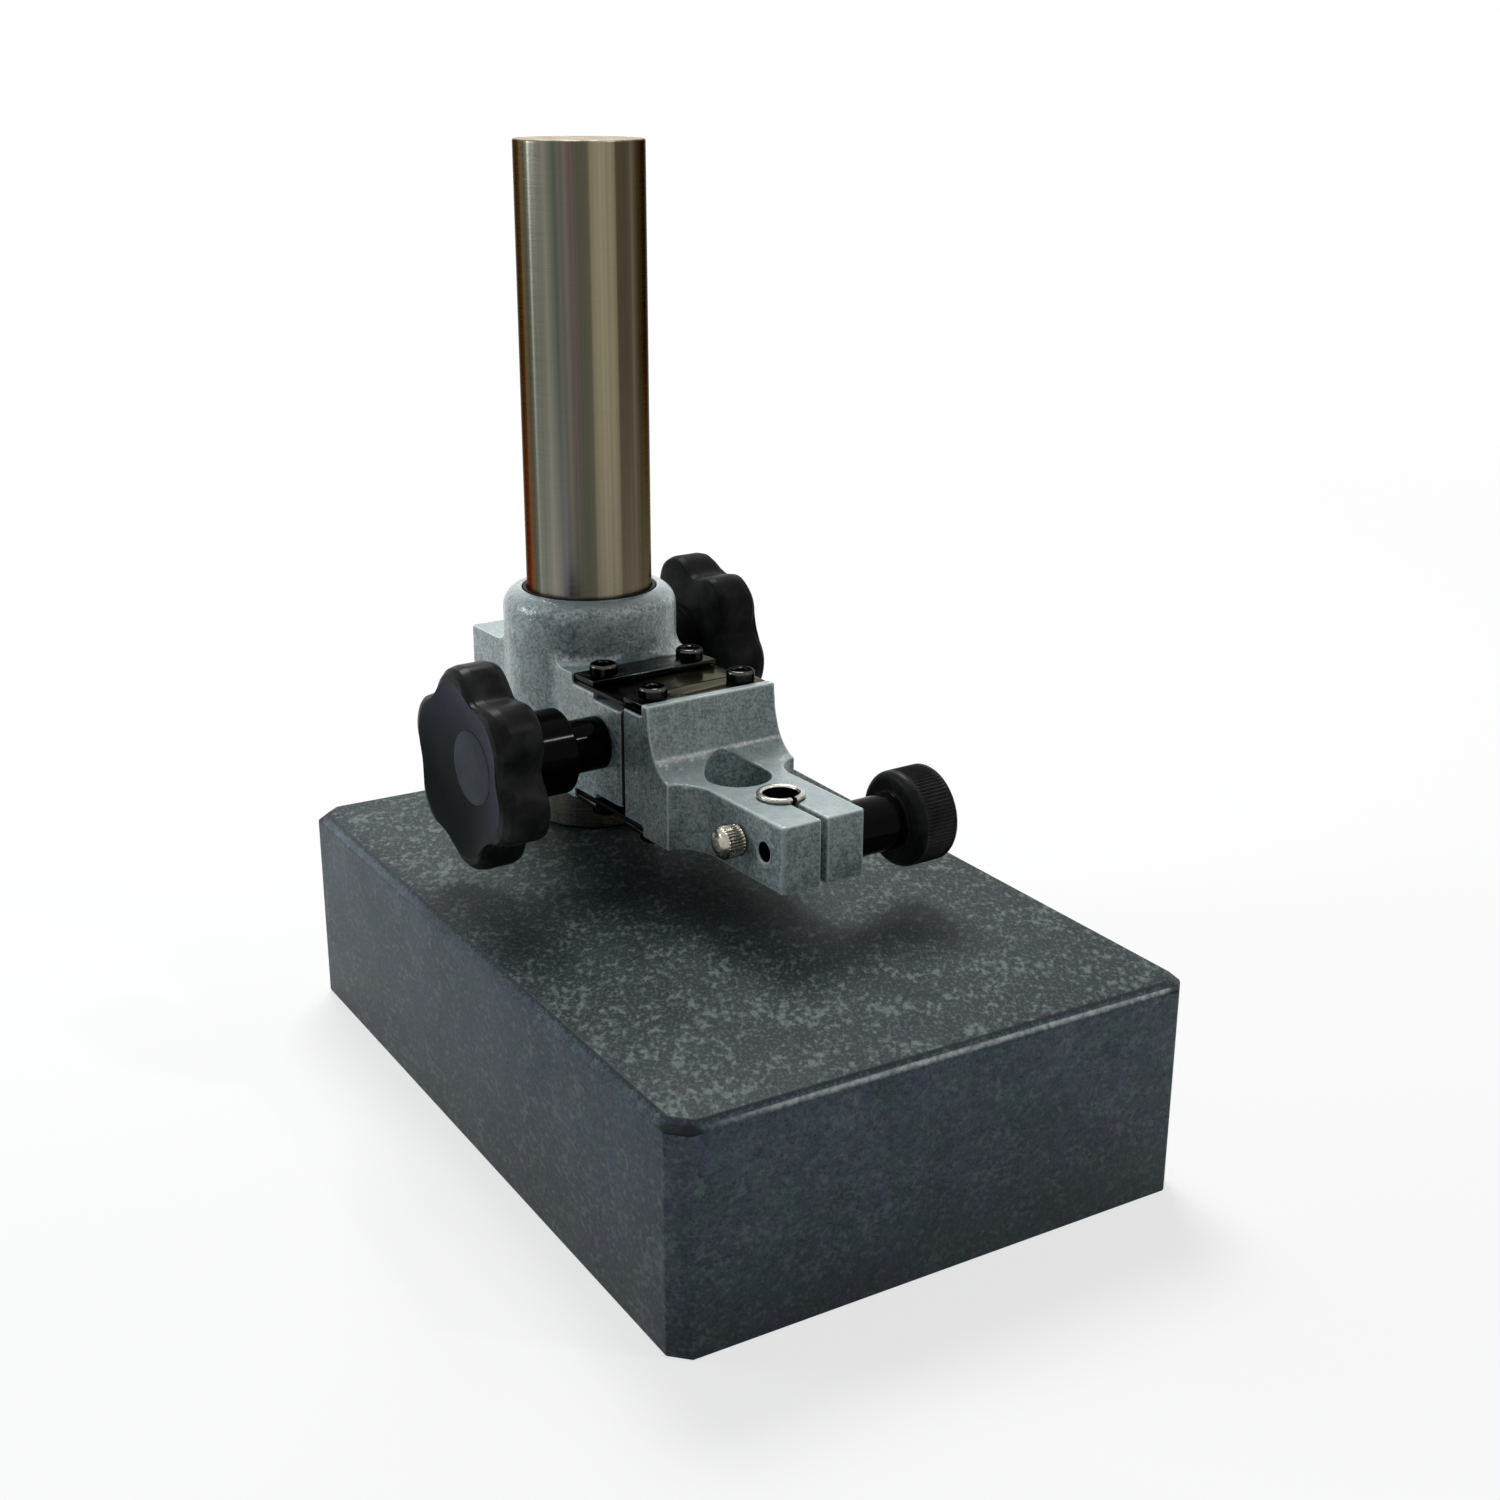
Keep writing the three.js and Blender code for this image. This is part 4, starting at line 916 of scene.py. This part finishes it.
spacer = revolve("clamp_step_spacer", rounded([
    (4.3, 0, 0.2), (7.6, 0, 0.4), (7.6, 12.4, 0.4), (4.3, 12.4, 0.2)], closed=True),
    on_arm(21.3, CLAMP_Y, CLAMP_Z, TO_PLUS_X), sides=96, closed=True)
dress(spacer, "bracket", "black_plastic", dull_black, "clamp_spacer")

# ---------------------------------------------------------------- CAD nodes that stay as they are

for name, material in (("collar_liner", liner_black), ("column_bolt_washer", zinc_steel),
                       ("stem_clamp_screw", black_oxide), ("feed_spindle", zinc_steel),
                       ("feed_knob_grub", black_oxide), ("feed_ring", zinc_steel),
                       ("clamp_screw", zinc_steel)):
    mesh = cad_nodes[name].data
    mesh.materials.clear()
    mesh.materials.append(material)

# ---------------------------------------------------------------- floor, world, lamps and camera

# The floor keeps the object's shadow close by, and fades to the white background further out
floor_material, net = new_material("studio_floor")
net.constants({"Base Color": (0.86, 0.86, 0.86, 1), "Roughness": 0.9, "Specular IOR Level": 0.0})
reach = net.add("ShaderNodeVectorMath", operation="LENGTH")
net.feed(reach.inputs[0], net.place())
far = net.ramp(net.times(reach.outputs["Value"], 0.5), [(0.1, 0.72), (0.6, 1.0)])
glow = net.add("ShaderNodeEmission").outputs[0]
surface = net.mix_shader(net.times(net.background_rays(), far), net.shader.outputs[0], glow)
net.feed(net.tree.nodes["Material Output"].inputs[0], surface)
EXTENT, FLOOR_LEVEL = 30000, -0.3
floor = piece("studio_floor", [
    (-EXTENT, -EXTENT, FLOOR_LEVEL), (EXTENT, -EXTENT, FLOOR_LEVEL),
    (EXTENT, EXTENT, FLOOR_LEVEL), (-EXTENT, EXTENT, FLOOR_LEVEL)], [(0, 1, 2, 3)], WORLD)
floor.data.materials.append(floor_material)

world = bpy.data.worlds.new("studio")
bpy.context.scene.world = world
world.use_nodes = True
world.node_tree.nodes.clear()
net = Net(world.node_tree)


def background(colour, strength):
    node = net.add("ShaderNodeBackground")
    node.inputs["Color"].default_value = (*colour, 1)
    node.inputs["Strength"].default_value = strength
    return node.outputs[0]


sky = net.mix_shader(net.background_rays(), background((0.92, 0.96, 1.0), 0.13),
                     background((1, 1, 1), 1.0))
net.feed(net.add("ShaderNodeOutputWorld").inputs[0], sky)


def lamp(name, place, aim, size, watts, colour=(1, 1, 1)):
    """A square area lamp. Place, aim and size are in metres."""
    data = bpy.data.lights.new(name, "AREA")
    data.shape = "RECTANGLE"
    data.size = data.size_y = size
    data.energy = watts
    data.color = colour
    obj = linked(name, data)
    obj.location = place
    obj.rotation_euler = (Vector(aim) - Vector(place)).to_track_quat("-Z", "Y").to_euler()


lamp("lamp_top", (0.25, 0.7, 1.3), (0, 0, 0.1), 0.6, 21)
lamp("lamp_left", (-0.95, 0.65, 0.45), (0, 0.05, 0.1), 0.4, 4, (0.88, 0.95, 1))
lamp("lamp_front", (0.8, -0.9, 1.3), (0, 0, 0.1), 0.07, 3.5)

# The photograph's camera, solved from the block's edges and the column
CAMERA_PLACE = (-0.2559765918, -0.4460679294, 0.2764471563)
YAW, PITCH, ROLL = 0.5433236583, 0.3306733928, 0.0036588086
camera_data = bpy.data.cameras.new("camera")
camera_data.sensor_width = 36
camera_data.lens = 47.5897
camera_data.clip_start = 0.01
camera_data.clip_end = 200
camera = linked("camera", camera_data)
ahead = Vector((math.sin(YAW) * math.cos(PITCH), math.cos(YAW) * math.cos(PITCH),
                -math.sin(PITCH)))
# The camera's sideways and upward directions before it rolls, and after
aside = Vector((math.cos(YAW), -math.sin(YAW), 0))
upward = aside.cross(ahead)
right = math.cos(ROLL) * aside + math.sin(ROLL) * upward
above = -math.sin(ROLL) * aside + math.cos(ROLL) * upward
axes = Matrix((right, above, -ahead)).transposed().to_4x4()
camera.matrix_world = Matrix.Translation(CAMERA_PLACE) @ axes
bpy.context.scene.camera = camera
bpy.context.scene.view_settings.view_transform = "Standard"
